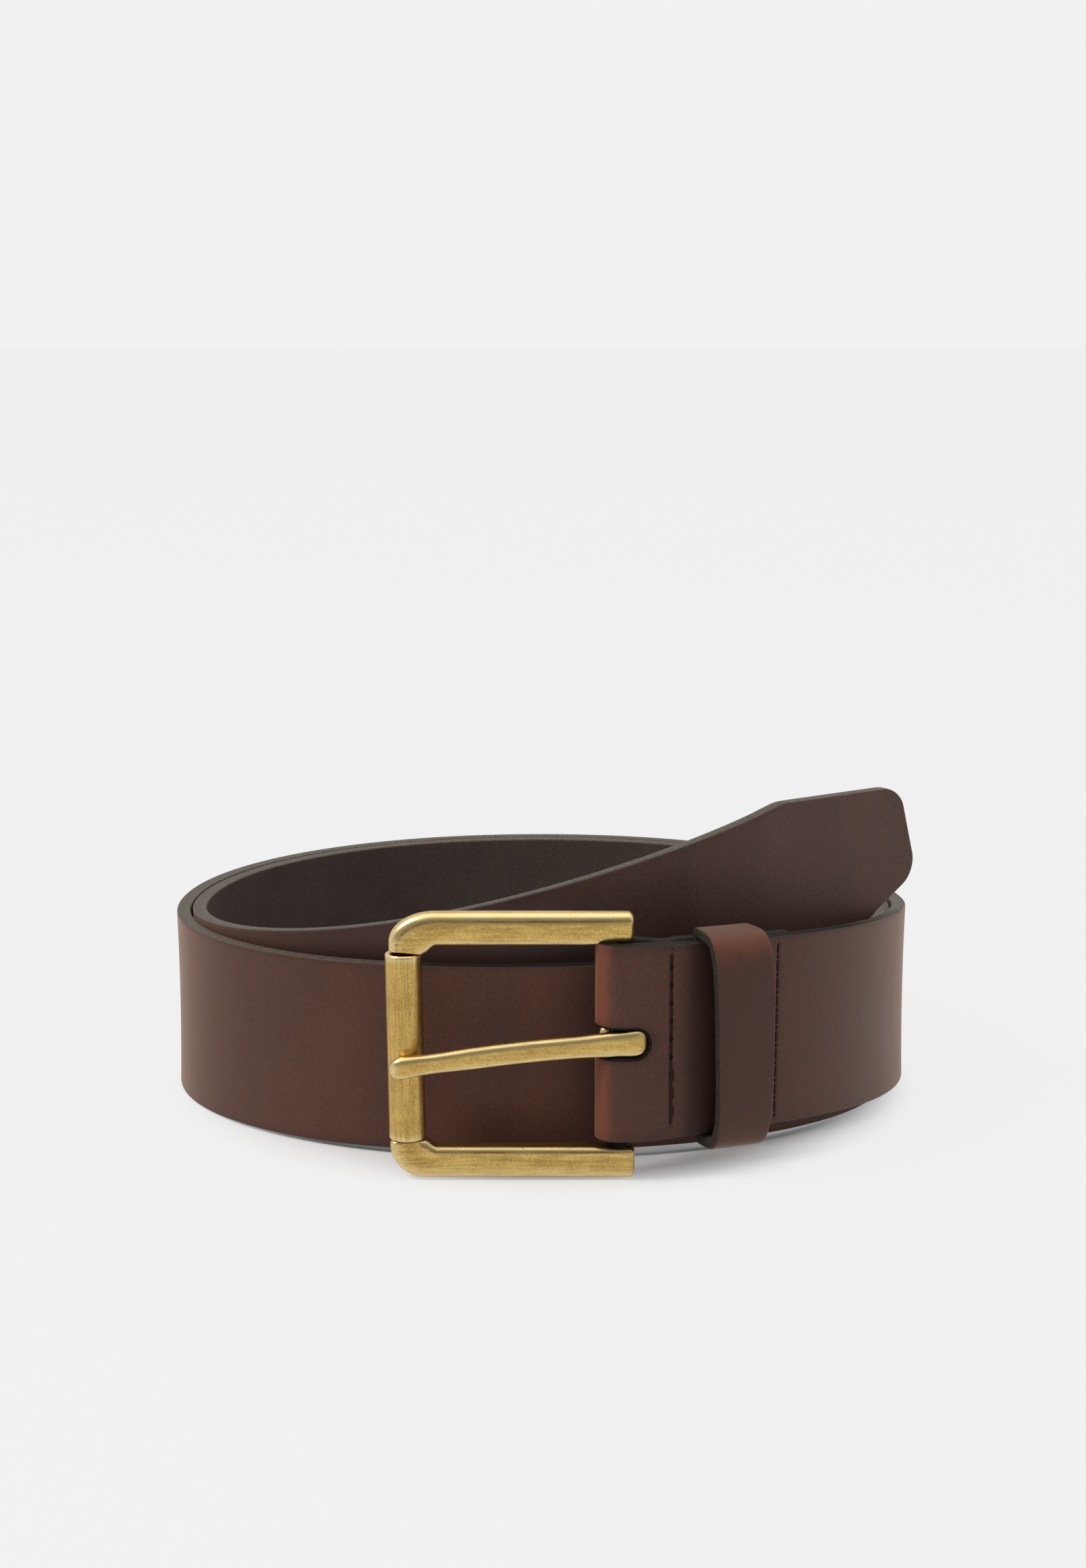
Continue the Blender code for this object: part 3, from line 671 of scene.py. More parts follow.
@dataclass(frozen=True)
class BrassFinish(Finish):
    """Antique brass: brown patina on the faces, rubbed bright on the corners.

    Attributes:
        group: The patina node group.
        bright: Colour of the bare metal.
        body: Colour of the usual tarnished metal.
        patina: Colour of the patina.
        stain_and_shade: Colour in pits and hollows, and of the dark lines and bands on the bars'
            faces.
        streaked: How strongly streaks along the piece show.
        drawn: Scale of the streaks along each axis.
        roughness: Roughness of the rubbed metal and of the patina.
    """

    group: bpy.types.NodeTree
    bright: Colour = (0.88, 0.73, 0.42)
    body: Colour = (0.72, 0.498, 0.152)
    patina: Colour = (0.39, 0.222, 0.066)
    stain_and_shade: Colour = (0.13, 0.075, 0.028)
    streaked: float = 0.45
    drawn: Triple = (0.06, 1.0, 1.0)
    roughness: Pair = (0.24, 0.40)

    def draw(self, nodes: Nodes) -> dict[str, object]:
        """Patina over the body colour, less on corners, with dark pits, and lines partly painted
        reflection.
        """
        place = nodes.object_place()
        vectors = {"Vector": place, "Drawn Vector": nodes.stretched(place, self.drawn)}
        cast = nodes.add("ShaderNodeGroup", vectors, node_tree=self.group).outputs
        corner = nodes.attribute("corner")
        patina = nodes.times(cast["Patina"], nodes.span(corner, 0.0, 0.9, 1.0, 0.12))
        patina = nodes.math("ADD", patina, nodes.times(cast["Streaks"], self.streaked), clamp=True)
        rubbed = nodes.mix(nodes.times(corner, 0.65), self.body, self.bright)
        colour = nodes.mix(nodes.times(patina, 0.75), rubbed, self.patina)
        uneven = nodes.span(cast["Streaks"], 0.0, 0.8, 0.25, 0.85)
        # The line on a bar is patina and painted reflection; the band below it is painted
        # reflection.
        stained_and_shaded = nodes.times(nodes.attribute("line"), uneven)
        dark = nodes.math("MAXIMUM", nodes.times(cast["Pits"], 0.62), stained_and_shaded)
        return {
            "Base Color": nodes.mix(dark, colour, self.stain_and_shade),
            "Roughness": nodes.span(patina, 0.0, 1.0, *self.roughness),
            "Normal": nodes.bump(cast["Height"], 0.00007, 0.55),
            "Metallic": 1.0,
        }


@dataclass(frozen=True)
class SteelFinish(Finish):
    """Drawn steel wire.

    Attributes:
        dark: Colour in the drawing lines.
        light: Colour between them.
    """

    dark: Colour = (0.30, 0.29, 0.28)
    light: Colour = (0.50, 0.49, 0.47)

    def draw(self, nodes: Nodes) -> dict[str, object]:
        """Drawing lines: fine noise in the colour and the roughness."""
        lines = nodes.noise(nodes.object_place(), 3000.0)
        return {
            "Base Color": nodes.mix(lines, self.dark, self.light),
            "Roughness": nodes.span(lines, 0.2, 0.8, 0.28, 0.45),
            "Metallic": 1.0,
        }


@dataclass
class StrapPath:
    """The bent strap's middle line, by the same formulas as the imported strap.

    The coil is a squared oval that spirals inwards. At the buckle the strap is folded round
    the heel bar and runs back behind itself as the flap; its tip leaves the coil and climbs.
    Places round the coil are in turns from the middle of its front.

    Attributes:
        width, thickness, length: Size of the cut strap.
        flap_thickness, flap_length: Size of the pared flap.
        taper_length, taper_ease: Length of the tip's taper, and how softly it starts.
        end_width, end_radius: Width between the tapers at the end, and radius of its corners.
        fold_spreads: How far the folded leather spreads below and above.
        swell: How far to each side of the fold it is spread, and over what length that fades.
        half_width, half_front, half_back: Half sizes of the oval.
        squareness: The n of the oval's formula.
        layer_pitch: How far one turn lies inside the turn before.
        buckle_turn: Where the heel bar is.
        bulge, bulge_end: How far the buckle's end stands out, and where that ends.
        raise_turns, raised: Where the buckle's end comes down, and from what height.
        lift, lift_turn, lift_spread: Height, middle and spread of a rise in the second turn.
        tip_inset, tip_inset_turn: How far the tip springs inwards, and from where.
        free_turn: Where the tip leaves the coil.
        climb_turn, climb_length, climb_angle: Where the tip starts to climb, over what length
            it comes to its slope, and the slope.
        wrap_radius: Radius of the fold's middle line.
        rows, row_leans: Stitch rows, from the heel bar, and their lean for each unit up.
        keeper_room: Gap between strap and flap at the keeper.
        pinch_gap, pinch_flat, pinch_ramp: Gap at a row, how far to each side it stays, and over
            what length it opens.
        pared_end, pared_ramp: Where the flap thickens before the fold, and over what length.
        heel_from_left: The heel bar's axis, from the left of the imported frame.
    """

    width: float = 0.040
    thickness: float = 0.0031
    length: float = 1.0693
    flap_thickness: float = 0.0022
    flap_length: float = 0.0395
    taper_length: float = 0.0330
    taper_ease: float = 0.03
    end_width: float = 0.0206
    end_radius: float = 0.0047
    fold_spreads: Pair = (0.0007, 0.0005)
    swell: Pair = (0.010, 0.018)
    half_width: float = 0.0828
    half_front: float = 0.0658
    half_back: float = 0.0770
    squareness: float = 2.035
    layer_pitch: float = 0.0036
    buckle_turn: float = 0.0352
    bulge: float = 0.0147
    bulge_end: float = 0.2306
    raise_turns: Pair = (0.055, 0.2965)
    raised: float = 0.0095
    lift: float = 0.0017
    lift_turn: float = 1.042
    lift_spread: float = 0.263
    tip_inset: float = 0.0029
    tip_inset_turn: float = 1.80
    free_turn: float = 2.144
    climb_turn: float = 1.683
    climb_length: float = 0.1665
    climb_angle: float = math.radians(15.57)
    wrap_radius: float = 0.0037
    rows: Pair = (0.0094, 0.0343)
    row_leans: Pair = (0.0, -0.060)
    keeper_room: float = 0.0026
    pinch_gap: float = 0.0010
    pinch_flat: float = 0.0010
    pinch_ramp: float = 0.0030
    pared_end: float = 0.0090
    pared_ramp: float = 0.0080
    heel_from_left: float = 0.0469

    def __post_init__(self) -> None:
        """Works out the line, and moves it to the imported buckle's heel bar."""
        outer, self.reach = self.coil_line()
        inward = self.inward(outer)
        flap, self.flap_reach = self.flap_line(outer, inward)
        wrap = self.wrap_line(outer, inward)
        self.points = np.concatenate([flap, wrap, outer])
        self.along = run_of(self.points)
        self.flap_along = self.along[: len(flap)]
        self.fold_start = float(self.along[len(flap)])
        self.fold_end = float(self.along[len(flap) + len(wrap)])
        self.fold_middle = (self.fold_start + self.fold_end) / 2
        self.fold_half = (self.fold_end - self.fold_start) / 2
        slope = np.gradient(self.points, self.along, axis=0)
        self.heading = np.unwrap(np.arctan2(slope[:, 1], slope[:, 0]))
        self.climb = np.arctan2(slope[:, 2], np.hypot(slope[:, 0], slope[:, 1]))
        low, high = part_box("buckle_frame")
        self.heel = np.array([low.x + self.heel_from_left, (low.y + high.y) / 2, high.z / 2])
        drawn = outer[0, :2] + self.wrap_radius * inward[0]
        self.points[:, :2] += self.heel[:2] - drawn

    def coil_plan(self, turn: Array) -> Array:
        """The coil from above: |x / width|^n + |y / depth|^n = 1, less an inset that grows.

        Args:
            turn: Places round the coil.

        Returns:
            Points (x, y).
        """
        bulge = 1 - smooth(turn, self.buckle_turn, self.bulge_end - self.buckle_turn)
        spring = smooth(turn, self.tip_inset_turn, self.free_turn - self.tip_inset_turn)
        inset = self.layer_pitch * turn - self.bulge * bulge + self.tip_inset * spring
        across, along = np.sin(TURN * turn), np.cos(TURN * turn)
        depth = np.where(along > 0, self.half_front, self.half_back) - inset
        power = self.squareness
        reach = np.abs(across / (self.half_width - inset)) ** power + np.abs(along / depth) ** power
        radius = reach ** (-1 / power)
        return np.stack([radius * across, -radius * along], axis=1)

    def coil_line(
        self, count: int = 6000, more: int = 400, step: float = 0.0002
    ) -> tuple[Array, Array]:
        """The strap from the heel bar to past the tip.

        The height is the sum of the tangents of the climb, taken half way along each step.

        Args:
            count: Points round the coil.
            more: Points on the straight line past it.
            step: Distance between those.

        Returns:
            The points, and the length at each from the heel bar.
        """
        turn = np.linspace(self.buckle_turn, self.free_turn, count)
        coil = self.coil_plan(turn)
        straight = np.arange(1, more)[:, None] * step * unit(coil[-1] - coil[-2])
        plan = np.concatenate([coil, coil[-1] + straight])
        turn = np.concatenate([turn, np.full(len(straight), self.free_turn)])
        run = run_of(plan)
        start = np.interp(self.climb_turn, turn, run)
        rate = np.tan(self.climb_angle * smooth(run, start, self.climb_length))
        gained = np.cumsum((rate[1:] + rate[:-1]) / 2 * np.diff(run))
        first, last = self.raise_turns
        down = smooth(turn, first, last - first)
        lift = 1 - smooth(np.abs(turn - self.lift_turn) / self.lift_spread)
        height = self.width / 2 + self.raised * (1 - down) + self.lift * lift
        return np.column_stack([plan, height + np.concatenate([[0.0], gained])]), run

    @staticmethod
    def inward(line: Array) -> Array:
        """Unit vectors towards the inside of the coil, seen from above."""
        slope = unit(np.gradient(line[:, :2], axis=0))
        return np.stack([-slope[:, 1], slope[:, 0]], axis=1)

    def flap_distance(self, reach: Array) -> Array:
        """From the strap's middle to the flap's: pinched at the rows, open at the keeper.

        Args:
            reach: Lengths from the heel bar.

        Returns:
            The distances.
        """
        first, second = self.rows
        pinched = (self.thickness + self.flap_thickness) / 2 + self.pinch_gap
        rise = smooth(reach - first, self.pinch_flat, self.pinch_ramp)
        fall = smooth(second - reach, self.pinch_flat, self.pinch_ramp)
        wrap = 1 - smooth(reach / first)
        room = (self.keeper_room - self.pinch_gap) * np.minimum(rise, fall)
        return pinched + room + (2 * self.wrap_radius - pinched) * wrap

    def flap_line(self, outer: Array, inward: Array, step: float = 0.0001) -> tuple[Array, Array]:
        """The flap, from its end to the heel bar, at its distance behind the strap.

        Args:
            outer: The strap's line.
            inward: Its inward directions.
            step: Distance between the flap's points.

        Returns:
            The flap's points, and their lengths from the heel bar.
        """
        reach = np.arange(self.flap_length, 0.0, -step)
        centre = read_off(reach, self.reach, outer)
        centre[:, :2] += self.flap_distance(reach)[:, None] * read_off(reach, self.reach, inward)
        return centre, reach

    def wrap_line(self, outer: Array, inward: Array, count: int = 180) -> Array:
        """Half a circle round the heel bar, from the flap to the front.

        Args:
            outer: The strap's line.
            inward: Its inward directions.
            count: Points of the half circle, with its two ends, which are left out.

        Returns:
            The points.
        """
        heel = outer[0, :2] + self.wrap_radius * inward[0]
        angle = math.atan2(inward[0, 1], inward[0, 0]) + np.linspace(0, math.pi, count)[1:-1]
        ring = heel + self.wrap_radius * np.stack([np.cos(angle), np.sin(angle)], axis=1)
        return np.column_stack([ring, np.full(len(ring), outer[0, 2])])

    def front_at(self, reach: float) -> float:
        """Flat length of the point on the front that is this far from the heel bar."""
        return self.fold_end + reach

    def flap_at(self, reach: float) -> float:
        """Flat length of the point on the flap behind that one."""
        return float(np.interp(-reach, -self.flap_reach, self.flap_along))

    def thick_at(self, along: Array) -> Array:
        """The flap is pared down, and thickens again towards the fold."""
        full = smooth(along, self.fold_start - self.pared_end, self.pared_ramp)
        return self.flap_thickness + (self.thickness - self.flap_thickness) * full

    def sides_at(self, along: Array, inset: float = 0.0) -> tuple[Array, Array]:
        """How far the strap reaches below and above its middle line.

        Both sides taper towards the end and round its corners. The taper t starts softly, as
        (t + sqrt(t^2 + ease^2)) / 2. At the fold the leather spreads a little.

        Args:
            along: Flat lengths.
            inset: How far inside the outline to measure.

        Returns:
            The lower and the upper reach.
        """
        from_end = self.length - inset - along
        taper = 1 - from_end / self.taper_length
        taper = (taper + np.sqrt(taper**2 + self.taper_ease**2)) / 2
        half = self.width / 2 - inset - (self.width - self.end_width) / 2 * taper
        radius = self.end_radius - inset
        into = np.clip(1 - from_end / radius, 0, 1)
        side = half - radius * (1 - np.sqrt(1 - into**2))
        swell = 1 - smooth(np.abs(along - self.fold_middle), *self.swell)
        return side + self.fold_spreads[0] * swell, side + self.fold_spreads[1] * swell

    def frame_at(self, along: Array) -> tuple[Array, Array, Array, Array]:
        """The bent strap's place and directions.

        Args:
            along: Flat lengths.

        Returns:
            Places, and unit vectors along the strap, up across it, and outwards.
        """
        place = read_off(along, self.along, self.points)
        heading = np.interp(along, self.along, self.heading)
        climb = np.interp(along, self.along, self.climb)[..., None]
        level = np.zeros_like(heading)
        run = np.stack([np.cos(heading), np.sin(heading), level], axis=-1)
        up = np.array([0.0, 0.0, 1.0]) * np.cos(climb) - run * np.sin(climb)
        outward = np.stack([np.sin(heading), -np.cos(heading), level], axis=-1)
        return place, run, up, outward

    def bend(self, flat: Array) -> Array:
        """Carries flat points to the coil: place + up * width + outward * depth.

        Args:
            flat: Points (length, width, depth).

        Returns:
            The points on the coil.
        """
        place, _, up, outward = self.frame_at(flat[:, 0])
        pared = self.thick_at(flat[:, 0]) / self.thickness
        return place + up * flat[:, 1:2] + outward * (flat[:, 2] * pared)[:, None]


@dataclass(frozen=True)
class Punch:
    """A round hole, or a slot with round ends, on the middle of a strip.

    Attributes:
        along: Flat length of its middle.
        straight: Half the length of its straight part.
        radius: Radius of its round part.
        core: Cells from its middle that are cut out.
        lip: How far its rounded wall stands out from the flat faces.
        cell: Size of the cells round it.
        cells: Cells from its middle that are drawn onto its outline.
    """

    along: float
    straight: float
    radius: float
    core: int
    lip: float
    cell: float = 0.0005625
    cells: int = 8

    @property
    def ends(self) -> Pair:
        """Where the drawn block starts and ends."""
        half = self.straight + self.cells * self.cell
        return self.along - half, self.along + half

    def lines(self, fine: float) -> Array:
        """Lines across the strip inside the block, without its last line.

        Args:
            fine: Step along the straight part.

        Returns:
            Their flat lengths.
        """
        ring = np.arange(self.cells + 1) * self.cell
        start = self.along - self.straight - ring[::-1]
        if self.straight == 0.0:
            return np.concatenate([start, self.along + ring[1:-1]])
        middle = spaced(self.along - self.straight, self.along + self.straight, fine)[1:]
        return np.concatenate([start, middle, self.along + self.straight + ring[:-1]])

    def draw(self, along: Array, across: Array) -> tuple[Array, Array]:
        """Draws the square rings of cells round the middle onto the outline.

        A point at square distance d from the straight part goes to the round outline where d
        is the core's size, stays where d is the block's size, and is blended between.

        Args:
            along: Flat lengths of the grid's points.
            across: Flat widths.

        Returns:
            The new lengths and widths.
        """
        inner, outer = self.core * self.cell, self.cells * self.cell
        offset = along - self.along
        held = np.clip(offset, -self.straight, self.straight)
        beyond = offset - held
        distance = np.maximum(np.abs(beyond), np.abs(across))
        length = np.maximum(np.hypot(beyond, across), 1e-9)
        share = np.clip((distance - inner) / (outer - inner), 0, 1)
        scale = (1 - share) * self.radius / length + share
        near = distance < outer
        moved = np.where(near, self.along + held + beyond * scale, along)
        return moved, np.where(near, across * scale, across)


@dataclass
class LeatherSheet:
    """A flat strip of leather with rounded edges, as a closed surface.

    Attributes:
        along: Lines across the strip, by flat length.
        across: Lines along the strip, by flat width.
        thickness: Thickness of the leather.
        edge: How far the rounded cut edge stands out from the flat faces.
        power: Squareness of the cut edge's section.
        sides_at: Lower and upper reach of the flat faces at flat lengths, or None if even.
        punches: Holes.
        steps: Steps round the cut edge.
        laps: Steps of the cut edge, and of a hole's wall, that the dyed grain laps over.
    """

    along: Array
    across: Array
    thickness: float
    edge: float
    power: float = 3.4
    sides_at: Callable[[Array], tuple[Array, Array]] | None = None
    punches: Sequence[Punch] = ()
    steps: int = 9
    laps: tuple[int, int] = (2, 0)

    def faces(self) -> Array:
        """The flat face's grid of (length, width), with its holes drawn and its end tapered."""
        along, across = np.meshgrid(self.along, self.across, indexing="ij")
        for punch in self.punches:
            along, across = punch.draw(along, across)
        if self.sides_at is not None:
            lower, upper = self.sides_at(along)
            across = across * np.where(across < 0, lower, upper) / self.across[-1]
        return np.stack([along, across], axis=-1)

    def hole(self, punch: Punch) -> tuple[int, int, int, int]:
        """The block of the grid that a punch cuts out.

        Args:
            punch: The punch.

        Returns:
            First and last line across the strip, then first and last along it.
        """
        reach = punch.core * punch.cell
        ends = punch.along - punch.straight - reach, punch.along + punch.straight + reach
        lines = [int(np.argmin(np.abs(self.along - end))) for end in ends]
        rows = [int(np.argmin(np.abs(self.across - end))) for end in (-reach, reach)]
        return lines[0], lines[1], rows[0], rows[1]

    @staticmethod
    def loop(first: int, last: int, low: int, high: int) -> tuple[Array, Array]:
        """Grid numbers round a block, so that its inside is on the left.

        Args:
            first, last: Its lines across the strip.
            low, high: Its lines along the strip.

        Returns:
            Numbers of the lines across, and of the lines along.
        """
        lines, rows = np.arange(first, last + 1), np.arange(low, high + 1)
        long, wide = np.ones(len(lines) - 1, int), np.ones(len(rows) - 1, int)
        i = np.concatenate([lines[:-1], last * wide, lines[:0:-1], first * wide])
        j = np.concatenate([low * long, rows[:-1], high * long, rows[:0:-1]])
        return i, j

    def wall(self, loop: Array, reach: float) -> Array:
        """Rings round a loop that make a rounded wall between the two faces.

        The wall's section is |offset / reach|^n + |height / half thickness|^n = 1.

        Args:
            loop: Flat points, with the leather on the left.
            reach: How far the wall stands out.

        Returns:
            Points (length, width, thickness) without the two rings on the faces.
        """
        step = unit(np.roll(loop, -1, axis=0) - loop)
        way = unit(step + np.roll(step, 1, axis=0))
        outwards = np.stack([way[:, 1], -way[:, 0]], axis=1)
        angle = np.linspace(0, math.pi, self.steps + 1)[1:-1]
        c, share = np.cos(angle), 2 / self.power
        offset = reach * np.sin(angle) ** share
        height = self.thickness / 2 * np.sign(c) * np.abs(c) ** share
        flat = loop[None] + outwards[None] * offset[:, None, None]
        tall = np.broadcast_to(height[:, None, None], (*flat.shape[:2], 1))
        return np.concatenate([flat, tall], axis=2)

    def build(self) -> Shell:
        """The closed strip, still flat: (length, width, thickness) in each point."""
        face = self.faces()
        rows, columns = face.shape[:2]
        total = rows * columns
        numbers = np.arange(total).reshape(rows, columns)
        keep = np.ones((rows - 1, columns - 1), bool)
        loops = [(self.loop(0, rows - 1, 0, columns - 1), self.edge, self.laps[0], Region.CUT)]
        for punch in self.punches:
            first, last, low, high = self.hole(punch)
            keep[first:last, low:high] = False
            i, j = self.loop(first, last, low, high)
            loops.append(((i[::-1], j[::-1]), punch.lip, self.laps[1], Region.HOLE))
        corners = (numbers[:-1, :-1], numbers[1:, :-1], numbers[1:, 1:], numbers[:-1, 1:])
        top = np.stack(corners, axis=-1)[keep]
        half = np.full((rows, columns, 1), self.thickness / 2)
        points = [np.concatenate([face, side * half], axis=2).reshape(-1, 3) for side in (1, -1)]
        quads = [top, top[:, ::-1] + total]
        marks = [np.full(len(top), int(side)) for side in (Region.GRAIN, Region.FLESH)]
        count = 2 * total
        for (i, j), reach, lap, region in loops:
            rings = self.wall(face[i, j], reach)
            size = rings.shape[0] * rings.shape[1]
            middle = count + np.arange(size).reshape(rings.shape[:2])
            ladder = np.concatenate([numbers[i, j][None], middle, numbers[i, j][None] + total])
            after = np.roll(ladder, -1, axis=1)
            sides = (ladder[:-1], ladder[1:], after[1:], after[:-1])
            quads.append(np.stack(sides, axis=-1).reshape(-1, 4))
            row = np.repeat(np.arange(len(ladder) - 1), ladder.shape[1])
            marks.append(np.where(row < lap, int(Region.GRAIN), int(region)))
            points.append(rings.reshape(-1, 3))
            count += size
        used, packed = np.unique(np.concatenate(quads), return_inverse=True)
        flat = np.concatenate(points)[used]
        regions = np.concatenate(marks)
        return Shell(flat, packed.reshape(-1, 4), regions=regions, flat=flat[:, :2].copy())


@dataclass(frozen=True)
class StrapDyeAndShade:
    """Where the strap's dye is rubbed away, deepened or dulled, and where shade is painted into it.

    Attributes:
        fold: Where the fold's rub starts to fade, and over how far, as shares of half the fold.
        row_rubs: Rubbed lines before and after the first row.
        row_rub_half: Half length of those, and how far they fade over.
        groove: Strength and spread of the painted shade in a groove.
        groove_fade: How far a groove's painted shade fades over at its ends.
        edge: Deep dye beside the cut edges.
        keeper: Strength of the painted shade beside and under the keeper.
        keeper_reach: Where that starts and ends, from the heel bar.
        keeper_fade: How far it fades over.
        tip: Strength of the dull tip, its length, and how far it fades over.
        front: Where the coil's front begins, and how far it fades in over.
        cut, cut_fade: Strength of the painted shade on cut edges by the buckle and at the bottom,
            and its fade-in.
        cut_end: Where the first turn's cut edge is no longer beside the buckle.
        cut_left: How far left the second turn's is.
        turns: Where the second and the third turn begin, from the heel bar.
        tucked: Painted shade on the third turn, below two heights.
        tucked_middle: Painted shade on the third turn behind the buckle.
        slot: Strength and spread of two rims of painted shade round the slot.
    """

    fold: Pair = (0.25, 0.72)
    row_rubs: tuple[Bump, Bump] = ((0.34, -0.0010, 0.0009), (0.16, 0.0011, 0.0007))
    row_rub_half: Pair = (0.0185, 0.002)
    groove: Pair = (0.30, 0.00035)
    groove_fade: float = 0.0006
    edge: Bump = (0.22, 0.0180, 0.0018)
    keeper: float = 0.62
    keeper_reach: Pair = (0.0105, 0.0265)
    keeper_fade: float = 0.004
    tip: Bump = (0.60, 0.150, 0.070)
    front: Pair = (0.030, 0.020)
    cut: float = 0.85
    cut_fade: float = 0.0001
    cut_end: float = 0.10
    cut_left: float = -0.030
    turns: Pair = (0.25, 0.67)
    tucked: tuple[Bump, Bump] = ((0.34, 0.0475, 0.006), (0.20, 0.064, 0.012))
    tucked_middle: Bump = (0.18, 0.004, 0.022)
    slot: tuple[Pair, ...] = ((0.30, 0.0005), (0.20, 0.0016))


@dataclass
class Strap:
    """The strap: folded at the buckle, coiled twice, and tapered at its tip.

    Attributes:
        path: Its path.
        dye: Its dye, and the shade painted into it.
        hole_count, hole_pitch, hole_radius: The holes near the tip.
        first_hole: Distance of the first hole from the tip.
        slot_radius, slot_reach: Half width of the prong slot, and how far it goes past the fold.
        hole_core, slot_core: Cells that a hole and the slot cut out.
        edge: Rounding of the cut edges.
        lip, slot_lip: Rounding of the holes' walls and of the slot's.
        groove_depth, groove_width: Depth and half width of the stitch grooves.
        row_half, row_fade: Half length of a groove, and how far it fades over.
        cup: How far the coiled strap's edges stand out from its middle.
        cup_from, cup_fade: Where that starts, from the heel bar, and over what length.
        fine, coarse, end_step: Steps between lines near the buckle, on the coil and at the tip.
        punch_step, row_step: Steps along the slot and across a stitch row.
        row_room: How far to each side of a row its lines lie.
        dense: Where the fine lines end, from the heel bar.
        outer_lines: The last two lines before the cut edge.
    """

    path: StrapPath
    dye: StrapDyeAndShade = StrapDyeAndShade()
    hole_count: int = 5
    hole_pitch: float = 0.025
    hole_radius: float = 0.0024
    first_hole: float = 0.1091
    slot_radius: float = 0.0028
    slot_reach: float = 0.0048
    hole_core: int = 5
    slot_core: int = 6
    edge: float = 0.00030
    lip: float = 0.00025
    slot_lip: float = 0.00060
    groove_depth: float = 0.00024
    groove_width: float = 0.00036
    row_half: float = 0.0190
    row_fade: float = 0.0008
    cup: float = 0.00030
    cup_from: float = 0.04
    cup_fade: float = 0.08
    fine: float = 0.0007
    coarse: float = 0.0016
    end_step: float = 0.0011
    punch_step: float = 0.00032
    row_step: float = 0.00028
    row_room: float = 0.0014
    dense: float = 0.050
    outer_lines: Pair = (0.0186, 0.0190)

    def slot(self) -> Punch:
        """The prong slot in the fold."""
        half = self.path.fold_half + self.slot_reach - self.slot_radius
        radius = self.slot_radius + self.slot_lip
        return Punch(self.path.fold_middle, half, radius, self.slot_core, self.slot_lip)

    def punches(self) -> list[Punch]:
        """The prong slot, and the holes from the buckle's side to the tip's."""
        first, radius = self.path.length - self.first_hole, self.hole_radius + self.lip
        places = [first - k * self.hole_pitch for k in range(self.hole_count)][::-1]
        return [self.slot(), *(Punch(at, 0.0, radius, self.hole_core, self.lip) for at in places)]

    def row_places(self) -> list[Pair]:
        """Flat length and lean of each stitch row, on the flap and on the front."""
        path, pairs = self.path, list(zip(self.path.rows, self.path.row_leans))
        flap = [(path.flap_at(reach), -lean) for reach, lean in pairs]
        return flap + [(path.front_at(reach), lean) for reach, lean in pairs]

    def grooves(self, along: Array, across: Array, width: float, fade: float) -> Array:
        """How deep in a stitch groove each flat point is, for a groove of this half width."""
        deep = sum(hump((along - row - lean * across) / width) for row, lean in self.row_places())
        return deep * smooth((self.row_half - np.abs(across)) / fade)

    def along_lines(self, punches: Sequence[Punch]) -> Array:
        """Lines across the strap: close together at the fold, rows, holes and tip.

        Args:
            punches: The slot and the holes.

        Returns:
            Their flat lengths.
        """
        path = self.path
        blocks = [(*punch.ends, punch.lines(self.punch_step)) for punch in punches]
        for row, lean in self.row_places():
            reach = self.row_room + path.width / 2 * abs(lean)
            ends = row - reach, row + reach
            blocks.append((*ends, spaced(*ends, self.row_step)))
        blocks.sort(key=lambda block: block[0])
        here, lines, dense = self.edge, [], path.front_at(self.dense)
        for start, end, own in blocks:
            if here < dense < start:
                lines.append(spaced(here, dense, self.fine))
                here = dense
            lines += [spaced(here, start, self.fine if start < dense else self.coarse), own]
            here = end
        corner = path.length - path.end_radius
        last = corner + (path.end_radius - self.edge) * np.sin(quarter(15))
        return np.concatenate([*lines, spaced(here, corner, self.end_step), last])

    def across_lines(self) -> Array:
        """Lines along the strap: cells of the punches in the middle, then wider."""
        inner = np.arange(Punch.cells + 1) * Punch.cell
        first, second = self.outer_lines
        outer = np.linspace(inner[-1], first, 12)[1:]
        return mirrored(np.concatenate([inner, outer, [second, self.path.width / 2 - self.edge]]))

    def build(self, finishes: Sequence[Material]) -> Piece:
        """The bent strap as a piece.

        Args:
            finishes: Materials of its grain, flesh, cut edges and holes.

        Returns:
            The piece.
        """
        path, punches = self.path, self.punches()
        sheet = LeatherSheet(
            self.along_lines(punches),
            self.across_lines(),
            path.thickness,
            self.edge,
            sides_at=lambda along: path.sides_at(along, self.edge),
            punches=punches,
        )
        shell = sheet.build()
        along, across, depth = shell.points.T
        on_grain = smooth(depth / path.thickness + 0.5)
        groove = self.grooves(along, across, self.groove_width, self.row_fade)
        depth -= self.groove_depth * groove * on_grain
        coiled = smooth(along, path.front_at(self.cup_from), self.cup_fade)
        depth += self.cup * np.square(across / (path.width / 2)) * coiled
        shell.values = self.values(along, across, on_grain)
        shell.points = path.bend(shell.points)
        return make_piece("belt_strap", [shell.outward()], finishes)

